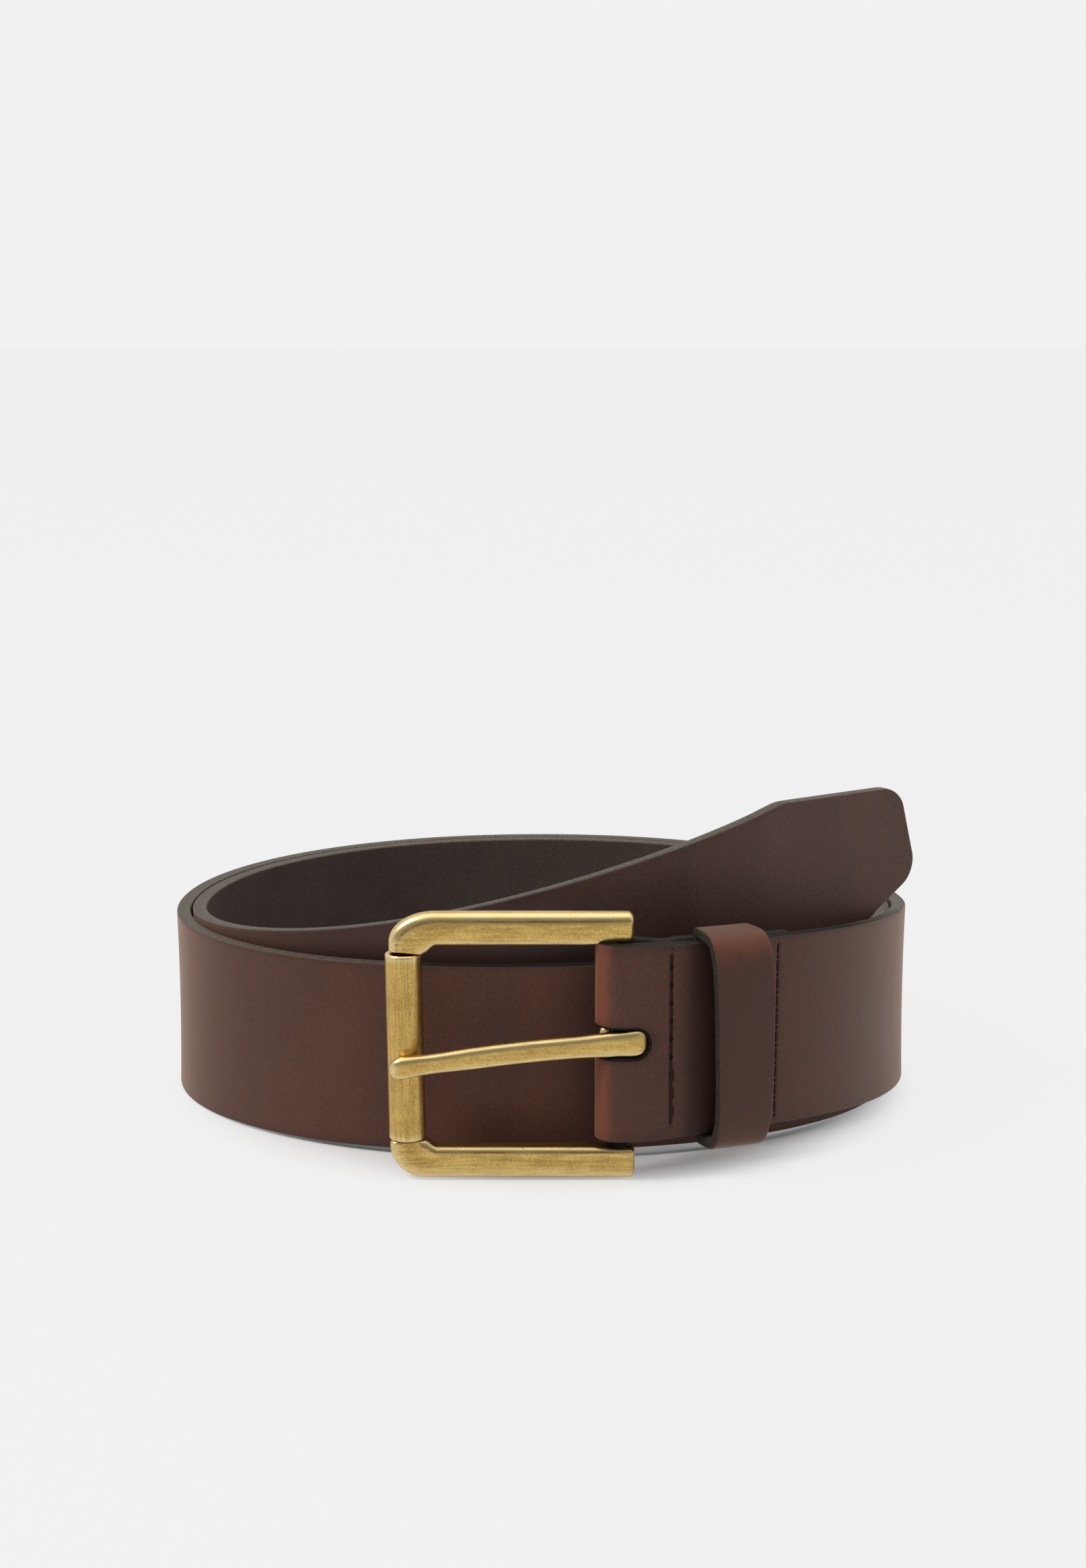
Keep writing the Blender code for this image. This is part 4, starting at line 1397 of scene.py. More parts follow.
    def values(self, along: Array, across: Array, on_grain: Array) -> dict[str, Array]:
        """Where the dye is rubbed, and where it is darker: deeper edge dye, and painted shade.

        Args:
            along: Flat lengths of the points.
            across: Flat widths.
            on_grain: 1 on the grain side.

        Returns:
            The numbers for the rub, shade and dull attributes.
        """
        path, dye, off_middle = self.path, self.dye, np.abs(across)
        fold = 1 - smooth(np.abs(along - path.fold_middle) / path.fold_half, *dye.fold)
        past_row = along - path.front_at(path.rows[0])
        beside = sum(strength * hump(past_row, *place) for strength, *place in dye.row_rubs)
        half, fade = dye.row_rub_half
        rub = np.clip(fold + beside * smooth((half - off_middle) / fade), 0, 1)
        # Painted shade in the stitch grooves.
        strength, width = dye.groove
        shade = strength * self.grooves(along, across, width, dye.groove_fade)
        strength, *place = dye.edge
        shade = shade + strength * smooth(off_middle, *place)
        # Painted shade beside and under the keeper.
        reach, (start, end) = along - path.front_at(0.0), dye.keeper_reach
        gone = smooth(reach, end, dye.keeper_fade)
        shade = shade + dye.keeper * smooth(reach, start, dye.keeper_fade) * (1 - gone)
        shade = shade * on_grain + self.close_shade(along, across, on_grain)
        strength, length, fade = dye.tip
        dull = strength * smooth(along, path.length - length, fade)
        return {"rub": rub * on_grain, "shade": np.clip(shade, 0, 1), "dull": dull * on_grain}

    def close_shade(self, along: Array, across: Array, on_grain: Array) -> Array:
        """Painted shade where the leather lies close to the buckle, to another turn or to the
        floor, and round the slot.

        Args:
            along: Flat lengths of the points.
            across: Flat widths.
            on_grain: 1 on the grain side.

        Returns:
            How much painted shade each point gets.
        """
        path, dye = self.path, self.dye
        x, y, z = path.frame_at(along)[0].T
        front = smooth(-y, *dye.front)
        # Painted shade on the cut edges beside the buckle and along the bottom.
        lower, upper = path.sides_at(along, self.edge)
        past = np.abs(across) - np.where(across < 0, lower, upper)
        wall = smooth(past / dye.cut_fade)
        second, third = (path.front_at(turn) for turn in dye.turns)
        first_turn = along < path.front_at(dye.cut_end)
        second_turn = (along > second) & (along < third) & (x > dye.cut_left)
        edges = dye.cut * wall * np.maximum(front * (first_turn | second_turn), across < 0)
        # Painted shade on the third turn, low down and behind the buckle.
        low = sum(dark * smooth((top - z - across) / fade) for dark, top, fade in dye.tucked)
        strength, *place = dye.tucked_middle
        tucked = (low + strength * hump(x, *place)) * (along > third) * on_grain
        # Painted shade round the slot's rims.
        slot = self.slot()
        beyond = np.maximum(np.abs(along - slot.along) - slot.straight, 0.0)
        from_slot = np.hypot(beyond, across) - slot.radius
        by_slot = sum(strength * hump(from_slot / fade) for strength, fade in dye.slot)
        return edges + front * tucked + by_slot


@dataclass
class StitchRow:
    """One side of a stitch row: short stitches of plied thread, sunk in a groove.

    Attributes:
        path: The strap's path.
        along: Flat length of the row's middle.
        lean: How far the row leans along the strap, for each unit across.
        back_stitches: Stitches that are sewn over again at the row's lower end.
        count, pitch: Number of stitches, and their distance.
        shift: How far above the strap's middle the row is centred.
        fill: Share of the pitch that a stitch covers.
        radius: Radius of the thread.
        rise, dive: Height of a stitch's middle, and how far its ends go down.
        plies, twist, next_twist: Plies of the thread, how far they turn along half a stitch, and
            from one stitch to the next.
        swell, narrowing: How far a ply swells the thread, and how far its ends are drawn in.
        again: How far along, to the side and up the back stitches are; along is in pitches.
        hole, hole_tall: Half width of a needle hole, and its height over its width.
        lightness: How light the thread is, and how much lighter a ply's middle is.
        dome, first_ring: Height of the dark dome in a needle hole, and how far from its top, as
            an angle, its first ring is.
        shown: First and last needle hole that the thread doesn't fill.
        groove: Depth of the groove.
        stations, around: Points along a stitch and round it.
    """

    path: StrapPath
    along: float
    lean: float = 0.0
    back_stitches: int = 0
    count: int = 10
    pitch: float = 0.00375
    shift: float = 0.0006
    fill: float = 0.86
    radius: float = 0.00042
    rise: float = -0.00036
    dive: float = 0.0010
    plies: int = 3
    twist: float = 5.2
    next_twist: float = 1.7
    swell: float = 0.10
    narrowing: float = 0.30
    again: Triple = (0.45, 0.00024, 0.00022)
    hole: float = 0.00056
    hole_tall: float = 1.5
    lightness: Pair = (0.78, 0.22)
    dome: float = 0.00026
    first_ring: float = 0.06
    shown: tuple[int, int] = (0, 11)
    groove: float = 0.00024
    stations: int = 27
    around: int = 12

    def laid(self, side: Array, across: Array, above: Array) -> Array:
        """Carries points to the coil.

        Args:
            side: How far beside the row they are.
            across: Their flat widths.
            above: How far above the strap's surface they are.

        Returns:
            The points on the coil.
        """
        along = self.along + self.lean * across + side
        thick = self.path.thick_at(along)
        depth = (thick / 2 + above) * self.path.thickness / thick
        flat = np.stack([along.ravel(), across.ravel(), depth.ravel()], axis=1)
        return self.path.bend(flat).reshape(*along.shape, 3)

    def build(self, name: str, finish: Material) -> Piece:
        """The stitches as one piece.

        Along a stitch, t runs from -1 to 1. The middle of the thread is at rise - dive * t^6,
        its radius falls towards the ends, and the plies swell it as cos(plies * (angle - twist)).

        Args:
            name: Name of the piece.
            finish: The thread's material.

        Returns:
            The piece.
        """
        middles = (np.arange(self.count) - (self.count - 1) / 2) * self.pitch + self.shift
        ahead, aside, over = self.again
        every = np.concatenate([middles, middles[: self.back_stitches] + ahead * self.pitch])
        twice = np.arange(len(every)) >= self.count
        steps = np.arange(len(every)), np.linspace(-1, 1, self.stations), circle(self.around)
        s, t, angle = np.meshgrid(*steps, indexing="ij")
        ply = np.cos(self.plies * (angle - self.twist * t - self.next_twist * s))
        ends = np.abs(t) ** 6
        radius = self.radius * (1 + self.swell * ply) * (1 - self.narrowing * np.abs(t) ** 5)
        across = every[s] + t * self.fill * self.pitch / 2
        above = over * twice[s] + self.rise - self.dive * ends + radius * np.sin(angle)
        points = self.laid(aside * twice[s] + radius * np.cos(angle), across, above)
        # Painted shade: darker between the plies, and darkest at the stitch ends where the thread
        # dives in.
        usual, more = self.lightness
        wear_and_painted_light = np.clip(usual + more * ply, 0, 1) * (1 - ends)
        shells = [loft(rings, {"ply": shade}) for rings, shade in zip(points, wear_and_painted_light)]
        # The domes carry no ply value, so they take the thread's darkest colour: painted shade in
        # the needle holes.
        return make_piece(name, shells + self.holes(middles), [finish])

    def holes(self, middles: Array) -> list[Shell]:
        """Painted shade in the needle holes between the stitches: dark low domes on the groove's
        floor.

        Args:
            middles: Flat widths of the stitches' middles.

        Returns:
            The domes.
        """
        tilt = np.linspace(self.first_ring, math.pi - self.first_ring, 8)[:, None]
        angle = circle(self.around)
        side = self.hole * np.sin(tilt) * np.cos(angle)
        tall = self.hole_tall * (self.hole * np.sin(tilt)) * np.sin(angle)
        above = self.dome * np.cos(tilt) - self.groove + 0 * angle
        spots = np.append(middles - self.pitch / 2, middles[-1] + self.pitch / 2)
        return [loft(self.laid(side, spot + tall, above)) for spot in spots[slice(*self.shown)]]


@dataclass
class Keeper:
    """The keeper loop: a strip bent round the strap, skived and butted at the back.

    Attributes:
        path: The strap's path.
        reach: Its middle, along the strap from the heel bar.
        width: Width of the strip.
        thickness: Thickness of its leather.
        back_thickness: Thickness where it is skived.
        skive: Where that starts, as a share of outer_back, and how far it fades in over.
        outer_front, outer_side, outer_back: Places of its outer face from the strap's middle.
        arch_start, arch_power: Where the front's arch begins, and the n of its formula.
        back_radius: Radius of the corners at the back.
        sag: How much further it hangs below the strap than it stands above.
        lean: How far it leans along the strap, for each unit up.
        seam: Gap where its ends meet.
        edge, edge_power: Rounding of the cut edge, and the n of its section's formula.
        bed_depth, bed_width, bed_half, bed_fade: The groove that the staple is pressed into.
        rubs_and_top_highlight: How far the dye is rubbed at the upper bends, at the lower bends and
            all over; at the upper bends it is partly painted highlight.
        rub_place: How far inside the bends that is, and its spread.
        side_lines: Lines along the strip, in millimetres from its middle.
    """

    path: StrapPath
    reach: float = 0.0226
    width: float = 0.0120
    thickness: float = 0.0024
    back_thickness: float = 0.0017
    skive: Pair = (0.2, 0.002)
    outer_front: float = 0.0084
    outer_side: float = 0.0226
    outer_back: float = 0.00372
    arch_start: float = -0.0010
    arch_power: float = 4.0
    back_radius: float = 0.0020
    sag: float = 0.0007
    lean: float = -0.045
    seam: float = 0.0004
    edge: float = 0.00040
    edge_power: float = 3.2
    bed_depth: float = 0.0007
    bed_width: float = 0.0005
    bed_half: float = 0.0042
    bed_fade: float = 0.0004
    rubs_and_top_highlight: Triple = (0.58, 0.30, 0.08)
    rub_place: Pair = (0.0010, 0.0050)
    side_lines: tuple[float, ...] = (0.0, 0.3, 0.6, 1.0, 1.7, 2.5, 3.4, 4.2, 4.9, 5.4)

    def ring(self) -> tuple[Array, Array, Array]:
        """The strip's outer line round the strap, from the seam up, over the front and back.

        The front is half of |out|^n + |height|^n = 1; the back is straight, with round corners.

        Returns:
            Points (out, height), unit normals away from the strap, and lengths along the line.
        """
        turn, power = quarter(60), 2 / self.arch_power
        deep = self.outer_front - self.arch_start
        out, height = np.sin(turn) ** power * deep, np.cos(turn) ** power * self.outer_side
        arch = np.stack([out + self.arch_start, height], axis=1)
        bend = np.stack([-np.cos(quarter(12)), np.sin(quarter(12))], axis=1)
        centre = np.array([self.back_radius - self.outer_back, self.outer_side - self.back_radius])
        corner = centre + self.back_radius * bend
        upper = np.concatenate([[[-self.outer_back, self.seam / 2]], corner, arch])
        line = np.concatenate([upper, (upper * [1, -1])[-2::-1]])
        length = run_of(line)
        fine = np.linspace(0, length[-1], 900)
        line = read_off(fine, length, line)
        way = unit(np.gradient(line, axis=0))
        return line, np.stack([-way[:, 1], way[:, 0]], axis=1), fine

    def build(self, finishes: Sequence[Material]) -> Piece:
        """The bent keeper as a piece.

        A flat point (length, width, depth) goes to the ring's outer line at that length, in by
        the depth, and along the strap by the width.

        Args:
            finishes: Materials of its grain, flesh and cut sides.

        Returns:
            The piece.
        """
        line, normal, length = self.ring()
        total = float(length[-1])
        along = np.linspace(self.edge, total - self.edge, 190)
        side = np.append(np.array(self.side_lines) * 0.001, self.width / 2 - self.edge)
        sheet = LeatherSheet(along, mirrored(side), self.thickness, self.edge, self.edge_power)
        shell = sheet.build()
        a, b, depth = shell.points.T.copy()
        on_grain = smooth(depth / self.thickness + 0.5)
        out, height = read_off(a, length, line).T
        height = np.where(height < 0, height * (1 + self.sag / self.outer_side), height)
        share, fade = self.skive
        back = smooth(-out, share * self.outer_back, fade)
        thick = self.thickness + (self.back_thickness - self.thickness) * back
        bed = hump(b / self.bed_width) * smooth((self.bed_half - np.abs(height)) / self.bed_fade)
        in_by = (depth / self.thickness - 0.5) * thick - self.bed_depth * bed * back * on_grain
        out_way, up_way = read_off(a, length, normal).T
        out, height = out + out_way * in_by, height + up_way * in_by
        shell.values = self.values(a, total, on_grain)
        flat_length = self.path.front_at(self.reach) + b + self.lean * height
        shell.points = self.path.bend(np.stack([flat_length, height, out], axis=1))
        return make_piece("keeper_strip", [shell.outward()], finishes)

    def values(self, along: Array, total: float, on_grain: Array) -> dict[str, Array]:
        """Where the dye is rubbed: at the bends, and a little all over; at the upper bends partly
        painted highlight.

        Args:
            along: Flat lengths of the points.
            total: Length of the strip.
            on_grain: 1 on the grain side.

        Returns:
            The numbers for the rub and shade attributes.
        """
        inside, spread = self.rub_place
        from_middle = np.abs(along - total / 2)
        upper, lower, all_over = self.rubs_and_top_highlight
        bend = hump(from_middle, self.outer_side - inside, spread)
        # The upper bends' larger rub is partly a painted highlight on the keeper's top, which faces
        # the light.
        rub = np.clip(np.where(along < total / 2, upper, lower) * bend + all_over, 0, 1)
        return {"rub": rub * on_grain, "shade": np.zeros_like(along)}


@dataclass
class Staple:
    """The wire staple behind the keeper: a tube along a U.

    Attributes:
        path: The strap's path.
        reach: The keeper's middle, along the strap from the heel bar.
        length, wire, leg: Size of the staple, and thickness of its wire.
        crown: Its middle part, out from the strap's middle.
        bend: Radius of its two bends.
    """

    path: StrapPath
    reach: float = 0.0222
    length: float = 0.007
    wire: float = 0.0006
    leg: float = 0.0012
    crown: float = -0.00335
    bend: float = 0.0004

    def build(self, finish: Material) -> Piece:
        """The bent wire as a piece: a circle carried along the U.

        Args:
            finish: The wire's material.

        Returns:
            The piece.
        """
        end, bend, turn = (self.length - self.wire) / 2, self.bend, quarter(6)
        upper = np.stack([bend * (1 - np.cos(turn)), end - bend + bend * np.sin(turn)], axis=1)
        half = np.concatenate([[[0.0, 0.0]], upper, [[self.leg, end]]])
        line = np.concatenate([(half * [1, -1])[::-1], half[1:]])
        way = unit(np.gradient(line, axis=0))
        angle = circle(10)
        place, run, up, outward = self.path.frame_at(np.array([self.path.front_at(self.reach)]))
        radius = self.wire / 2
        out = self.crown + line[:, :1] + radius * np.cos(angle) * way[:, 1:2]
        height = line[:, 1:2] - radius * np.cos(angle) * way[:, :1]
        side = np.broadcast_to(radius * np.sin(angle), out.shape)
        rings = place + out[..., None] * outward + height[..., None] * up + side[..., None] * run
        return make_piece("keeper_wire", [loft(rings)], [finish], sharp=50)


@dataclass
class BuckleFrame:
    """The cast frame: two bars with corner blocks, the heel bar and the roller's axle.

    Where an attribute is a pair, its first number is the upper bar's and its second the lower's.

    Attributes:
        heel: Place of the heel bar's axis; x, y and z below are measured from there.
        left, rights: Left side, and the bars' right ends.
        height, depth: Height of the frame, and its thickness.
        bar: Height of a bar.
        steps: How far the blocks step down below the bars.
        lift: How far the frame is raised.
        block_end, flare: Where the blocks end, and how far their inner lines slope.
        corner_lengths, corner_drops: Half sizes of the outer corners' ellipses.
        line_levels, line_spread: Level of a bar face's dark line of patina and painted reflection,
            and its spread.
        bands, band_drops, band_spread: Strength of a band of painted dark reflection below, how far
        below it is, and its spread.
        squareness: The n of the section's formula, outside and inside.
        end_radius, tail_radius: Rounding of the bars' right ends and of the blocks' lower ends.
        end_wear: How far the rounded ends are rubbed.
        waist, waist_from, waist_ramp: How far the upper bar is cut away beside the fold, from
            where, and over what length.
        heel_radius, axle_radius: Radii of the two rods.
        axle_x: Place of the axle.
    """

    heel: Array
    left: float = -0.0472
    rights: Pair = (0.0025, 0.0029)
    height: float = 0.0558
    depth: float = 0.005
    bar: float = 0.0067
    steps: Pair = (0.0017, 0.0014)
    lift: float = 0.0002
    block_end: float = -0.0400
    flare: float = 0.0026
    corner_lengths: Pair = (0.0095, 0.0070)
    corner_drops: Pair = (0.0064, 0.0071)
    line_levels: Pair = (0.52, 0.70)
    line_spread: float = 0.055
    bands: Pair = (0.18, 0.36)
    band_drops: Pair = (0.30, 0.62)
    band_spread: float = 0.36
    squareness: Pair = (3.0, 4.8)
    end_radius: float = 0.0012
    tail_radius: float = 0.0008
    end_wear: float = 0.8
    waist: float = 0.0005
    waist_from: float = -0.0080
    waist_ramp: float = 0.0100
    heel_radius: float = 0.0020
    axle_radius: float = 0.0021
    axle_x: float = -0.0442

    @staticmethod
    def rounded(radius: float, into: Array) -> Array:
        """How far sections are drawn in by a rounded end that into goes through, from 0 to 1."""
        return radius * (1 - np.sqrt(1 - NEARLY * into**2))

    def outlines(self, side: int) -> tuple[Array, Array, Array]:
        """A bar's outer and inner lines (x, z), station by station, and how far they draw in.

        The bar runs left from its right end. At the block the outer line turns down a quarter
        of an ellipse while the inner line steps down, so the section fans from upright to
        level. The upper bar's inner line also rises beside the strap's fold.

        Args:
            side: 1 for the upper bar and -1 for the lower, which is drawn upside down.

        Returns:
            Outer line, inner line, and how far each section is drawn in all round.
        """
        top = self.height / 2
        inner = top - self.bar
        turn = self.block_end + self.flare
        pairs = (self.corner_lengths, self.corner_drops, self.steps, self.rights)
        length, drop, down, right = (pair[side < 0] for pair in pairs)
        into = np.linspace(1, 0, 9)
        ends = right - self.end_radius * (1 - into)
        x = np.concatenate([ends, np.linspace(right - self.end_radius, turn, 60)[1:]])
        pull = np.zeros_like(x)
        pull[: len(into)] = self.rounded(self.end_radius, into)
        rise = self.waist * smooth(x, self.waist_from, self.waist_ramp) * (side > 0)
        share = np.linspace(0, 1, 44)[1:]
        run = turn - (self.left + length)
        arc = (length + drop) / 2 * math.pi / 2
        s = share * (run + arc + top - drop - (inner - down))
        angle = np.clip((s - run) / arc, 0, 1) * math.pi / 2
        ox = turn - np.minimum(s, run) - length * np.sin(angle)
        oz = top - drop * (1 - np.cos(angle)) - np.maximum(s - run - arc, 0)
        step = np.clip(share * 1.5, 0, 1)
        ix = turn - self.flare * step
        iz = inner - down * smooth(step)
        last = np.clip((s - s[-1] + self.tail_radius) / self.tail_radius, 0, 1)
        return (
            np.column_stack([np.append(x, ox), np.append(np.full_like(x, top), oz)]),
            np.column_stack([np.append(x, ix), np.append(inner + rise, iz)]),
            np.append(pull, self.rounded(self.tail_radius, last)),
        )

    def bar_shell(self, side: int) -> Shell:
        """One bar with its block: the section carried between the two outlines.

        Args:
            side: 1 for the upper bar and -1 for the lower.

        Returns:
            The closed shell.
        """
        outer, inner, pull = self.outlines(side)
        middle = (outer + inner) / 2
        half = np.linalg.norm(outer - inner, axis=1) / 2
        way = unit(outer - inner)
        deep = np.full_like(half, self.depth / 2)
        a, b, corner = PillowSection(self.squareness).sized(half - pull, deep - pull)
        x = middle[:, :1] + way[:, :1] * a
        z = (middle[:, 1:] + way[:, 1:] * a) * side + self.lift
        rings = np.stack([x, b, z], axis=-1) + self.heel
        ends = np.clip(pull / self.end_radius, 0, 1)[:, None]
        # A bar's face gets a dark line of patina and painted reflection, and below it a band of
        # painted dark reflection of the room in front.
        pairs = (self.line_levels, self.bands, self.band_drops)
        level, strength, lower = (pair[side < 0] for pair in pairs)
        drop = level - a / half[:, None] * side
        band = strength * hump(drop, lower, self.band_spread)
        line = np.maximum(hump(drop / self.line_spread), band) * (b < 0)
        return loft(rings, {"corner": np.maximum(corner, ends * self.end_wear), "line": line})

    def rod(self, x: float, radius: float, half: float) -> Shell:
        """An upright rod with its ends inside the bars, in the second finish.

        Args:
            x: Place of its axis.
            radius: Its radius.
            half: Half its length.

        Returns:
            The closed shell.
        """
        z, angle = np.meshgrid(np.linspace(-half, half, 24), circle(40), indexing="ij")
        rings = np.stack([x + radius * np.cos(angle), radius * np.sin(angle), z], axis=-1)
        shell = loft(rings + self.heel)
        shell.regions = np.ones(len(shell.quads), int)
        return shell

    def build(self, finish: Material, rod_shade_finish: Material) -> Piece:
        """The frame as a piece.

        Args:
            finish: Material of the bars.
            rod_shade_finish: Material of the rods, nearly black: painted shade.

        Returns:
            The piece.
        """
        inner = self.height / 2 - self.bar
        heel_bar = self.rod(0.0, self.heel_radius, inner + self.bar / 2)
        axle = self.rod(self.axle_x, self.axle_radius, inner)
        shells = [self.bar_shell(1), self.bar_shell(-1), heel_bar, axle]
        return make_piece("brass_frame", shells, [finish, rod_shade_finish], sharp=55)


@dataclass
class Roller:
    """A tube of sheet brass rolled round its axle, with a seam behind.

    Attributes:
        axis: Place of the middle of its axis.
        radius, bore, length: Outer radius, inner radius and length of the tube.
        seam: Gap of the seam.
        lean: How far it leans sideways on its axle, for each unit up.
        dent: How far out of round it is, as a share of its radius.
        dent_spread: Spread of that along it, as a share of its length.
    """

    axis: Array
    radius: float = 0.0038
    bore: float = 0.0027
    length: float = 0.0391
    seam: float = 0.0004
    lean: float = -0.015
    dent: float = 0.006
    dent_spread: float = 0.4

    def build(self, finish: Material) -> Piece:
        """The roller as a piece: the wall's rounded section turned about the axis.

        Args:
            finish: The tube's material.

        Returns:
            The piece.
        """
        wall, half, turn = (self.radius - self.bore) / 2, self.length / 2, quarter(6)
        rim = np.stack([wall * np.sin(turn), half - wall * (1 - np.cos(turn))], axis=1)
        level = np.linspace(1, -1, 30)[1:-1] * (half - wall)
        straight = np.stack([np.full_like(level, wall), level], axis=1)
        outside = np.concatenate([rim, straight, (rim * [1, -1])[::-1]])
        a, b = np.concatenate([outside, -outside]).T[:, None, :]
        corner = smooth((np.abs(b) - half + 2 * wall) / wall)
        opening = self.seam / self.radius / 2
        angle = QUARTER + np.linspace(opening, TURN - opening, 97)[:, None]
        dent = 1 - self.dent * np.sin(3 * angle) * hump(b / (self.length * self.dent_spread))
        reach = ((self.radius + self.bore) / 2 + a) * dent
        x, y = reach * np.cos(angle) + self.lean * b, reach * np.sin(angle)
        rings = np.stack([x, y, b + 0 * angle], axis=-1) + self.axis
        wear_and_painted_light = np.broadcast_to(corner, rings.shape[:2])
        return make_piece("brass_roller", [loft(rings, {"corner": wear_and_painted_light})], [finish], sharp=60)


@dataclass
class Prong:
    """The prong: a waisted bar curled round the heel bar, its tip resting on the roller.

    Places along it are in x from the heel bar, which is below 0 towards the tip.

    Attributes:
        heel: Place of the heel bar's axis.
        slope: The arm's height at x, as a polynomial, highest power first.
        bow: A small rise of the arm.
        thickness: Thickness of the bar.
        squareness: The n of the section's formula.
        curl_sweep: How far the curl goes round.
        curl_power, curl_stretch: The n of the curl's front corner, and how far it is drawn out.
        heel_radius, gap: Radius of the heel bar, and the room round it.
        roller_x, roller_radius: The roller.
        past_roller: How far the tip goes past the roller's axis.
        tip_length: Length of the rounded tip.
        arm: Width of the arm.
        base, shoulder: Where it widens towards the heel, and narrows in the curl.
        neck: Where it is drawn in before the tip.
        knob_wide, knob_thick: How far the tip swells in width, and in thickness as a share.
        knob_place: Where the swelling starts, as -x, and over what length.
        end_stations, closing: Sections in the curl's rounded end, and how far an end closes.
        end_wear: How far the ends are rubbed, and how soon that comes.
    """

    heel: Array
    slope: tuple[float, float, float, float] = (4.60, -0.378, 0.0739, 0.001452)
    bow: Bump = (0.00015, -0.020, 0.012)
    thickness: float = 0.0030
    squareness: float = 2.9
    curl_sweep: float = math.radians(250)
    curl_power: float = 3.4
    curl_stretch: float = 1.22
    heel_radius: float = 0.0020
    gap: float = 0.0003
    roller_x: float = -0.0442
    roller_radius: float = 0.0038
    past_roller: float = 0.0028
    tip_length: float = 0.0026
    arm: float = 0.0045
    base: Bump = (0.0012, -0.010, 0.014)
    shoulder: Bump = (0.0016, 0.0034, 0.0028)
    neck: Bump = (0.0004, -0.0375, 0.005)
    knob_wide: float = 0.0002
    knob_thick: float = 0.14
    knob_place: Pair = (0.0405, 0.003)
    end_stations: int = 5
    closing: float = 0.985
    end_wear: Pair = (0.9, 1.5)

    def curl_line(self, curl: float) -> Array:
        """The curl: round behind, and |x|^n + |y|^n = 1 at its front corner.

        Args:
            curl: Radius of its middle line.

        Returns:
            Points (x, y).
        """
        angle = np.linspace(self.curl_sweep, 0, 60) - QUARTER
        c, s, power = np.cos(angle), np.sin(angle), self.curl_power
        front = (c > 0) & (s < 0)
        square = (np.abs(c) ** power + np.abs(s) ** power) ** (-1 / power)
        reach = curl * np.where(front, square, 1.0)
        x, y = reach * c * np.where(front, self.curl_stretch, 1.0), reach * s
        x += (self.curl_stretch - 1) * curl * smooth(y / curl + 1) * (x > 0) * ~front
        return np.stack([x, y], axis=1)

    def line(self) -> tuple[Array, Array]:
        """The middle line, from the curl's end round the heel bar and out along the arm.

        Returns:
            Points, and how far each is into a rounded end, from 0 to 1.
        """
        half = self.thickness / 2
        curl = self.heel_radius + self.gap + half
        bend = self.curl_line(curl)
        tip = self.roller_x - self.past_roller
        shoulder = tip + self.tip_length
        rounding = tip + self.tip_length * (1 - np.sin(quarter(14)))
        x = np.append(np.linspace(0, shoulder, 70)[1:-1], rounding)
        rest = -(self.roller_radius + self.gap + half)
        y = -curl + (rest + curl) * smooth(x / self.roller_x)
        plan = np.concatenate([bend, np.stack([x, y], axis=1)])
        strength, *place = self.bow
        z = np.polyval(self.slope, plan[:, 0]) + strength * hump(plan[:, 0], *place)
        into = np.clip((shoulder - plan[:, 0]) / self.tip_length, 0, 1)
        into[: len(bend)] = 0.0
        first = np.clip(1 - np.arange(len(plan)) / self.end_stations, 0, 1)
        return np.column_stack([plan, z]), np.maximum(into, first)

    def width_at(self, x: Array) -> Array:
        """Half width: broad at the heel, even along the arm, drawn in just before the tip.

        Args:
            x: Places along the prong.

        Returns:
            The half widths.
        """
        (base, *base_at), (inner, *inner_at) = self.base, self.shoulder
        neck, *neck_at = self.neck
        wide = self.arm + base * smooth(x, *base_at) + self.knob_wide * self.knob(x)
        return (wide - neck * hump(x, *neck_at) - inner * smooth(x, *inner_at)) / 2

    def knob(self, x: Array) -> Array:
        """1 at the swollen tip and 0 along the arm."""
        return smooth(-x, *self.knob_place)

    def build(self, finish: Material) -> Piece:
        """The prong as a piece: rounded sections across its line, drawn in at both ends.

        Args:
            finish: The bar's material.

        Returns:
            The piece.
        """
        line, into = self.line()
        slope = unit(np.gradient(line[:, :2], axis=0))
        size = np.sqrt(1 - self.closing * into**2)
        half = self.width_at(line[:, 0]) * size
        deep = self.thickness / 2 * size * (1 + self.knob_thick * self.knob(line[:, 0]))
        section = PillowSection((self.squareness, self.squareness), count=64)
        a, b, corner = section.sized(half, deep)
        x = line[:, :1] - slope[:, 1:2] * b
        y = line[:, 1:2] + slope[:, :1] * b
        rings = np.stack([x, y, line[:, 2:] + a], axis=-1) + self.heel
        wear, soon = self.end_wear
        wear_and_painted_light = np.maximum(corner, smooth(into * soon)[:, None] * wear)
        return make_piece("brass_prong", [loft(rings, {"corner": wear_and_painted_light})], [finish], sharp=60)


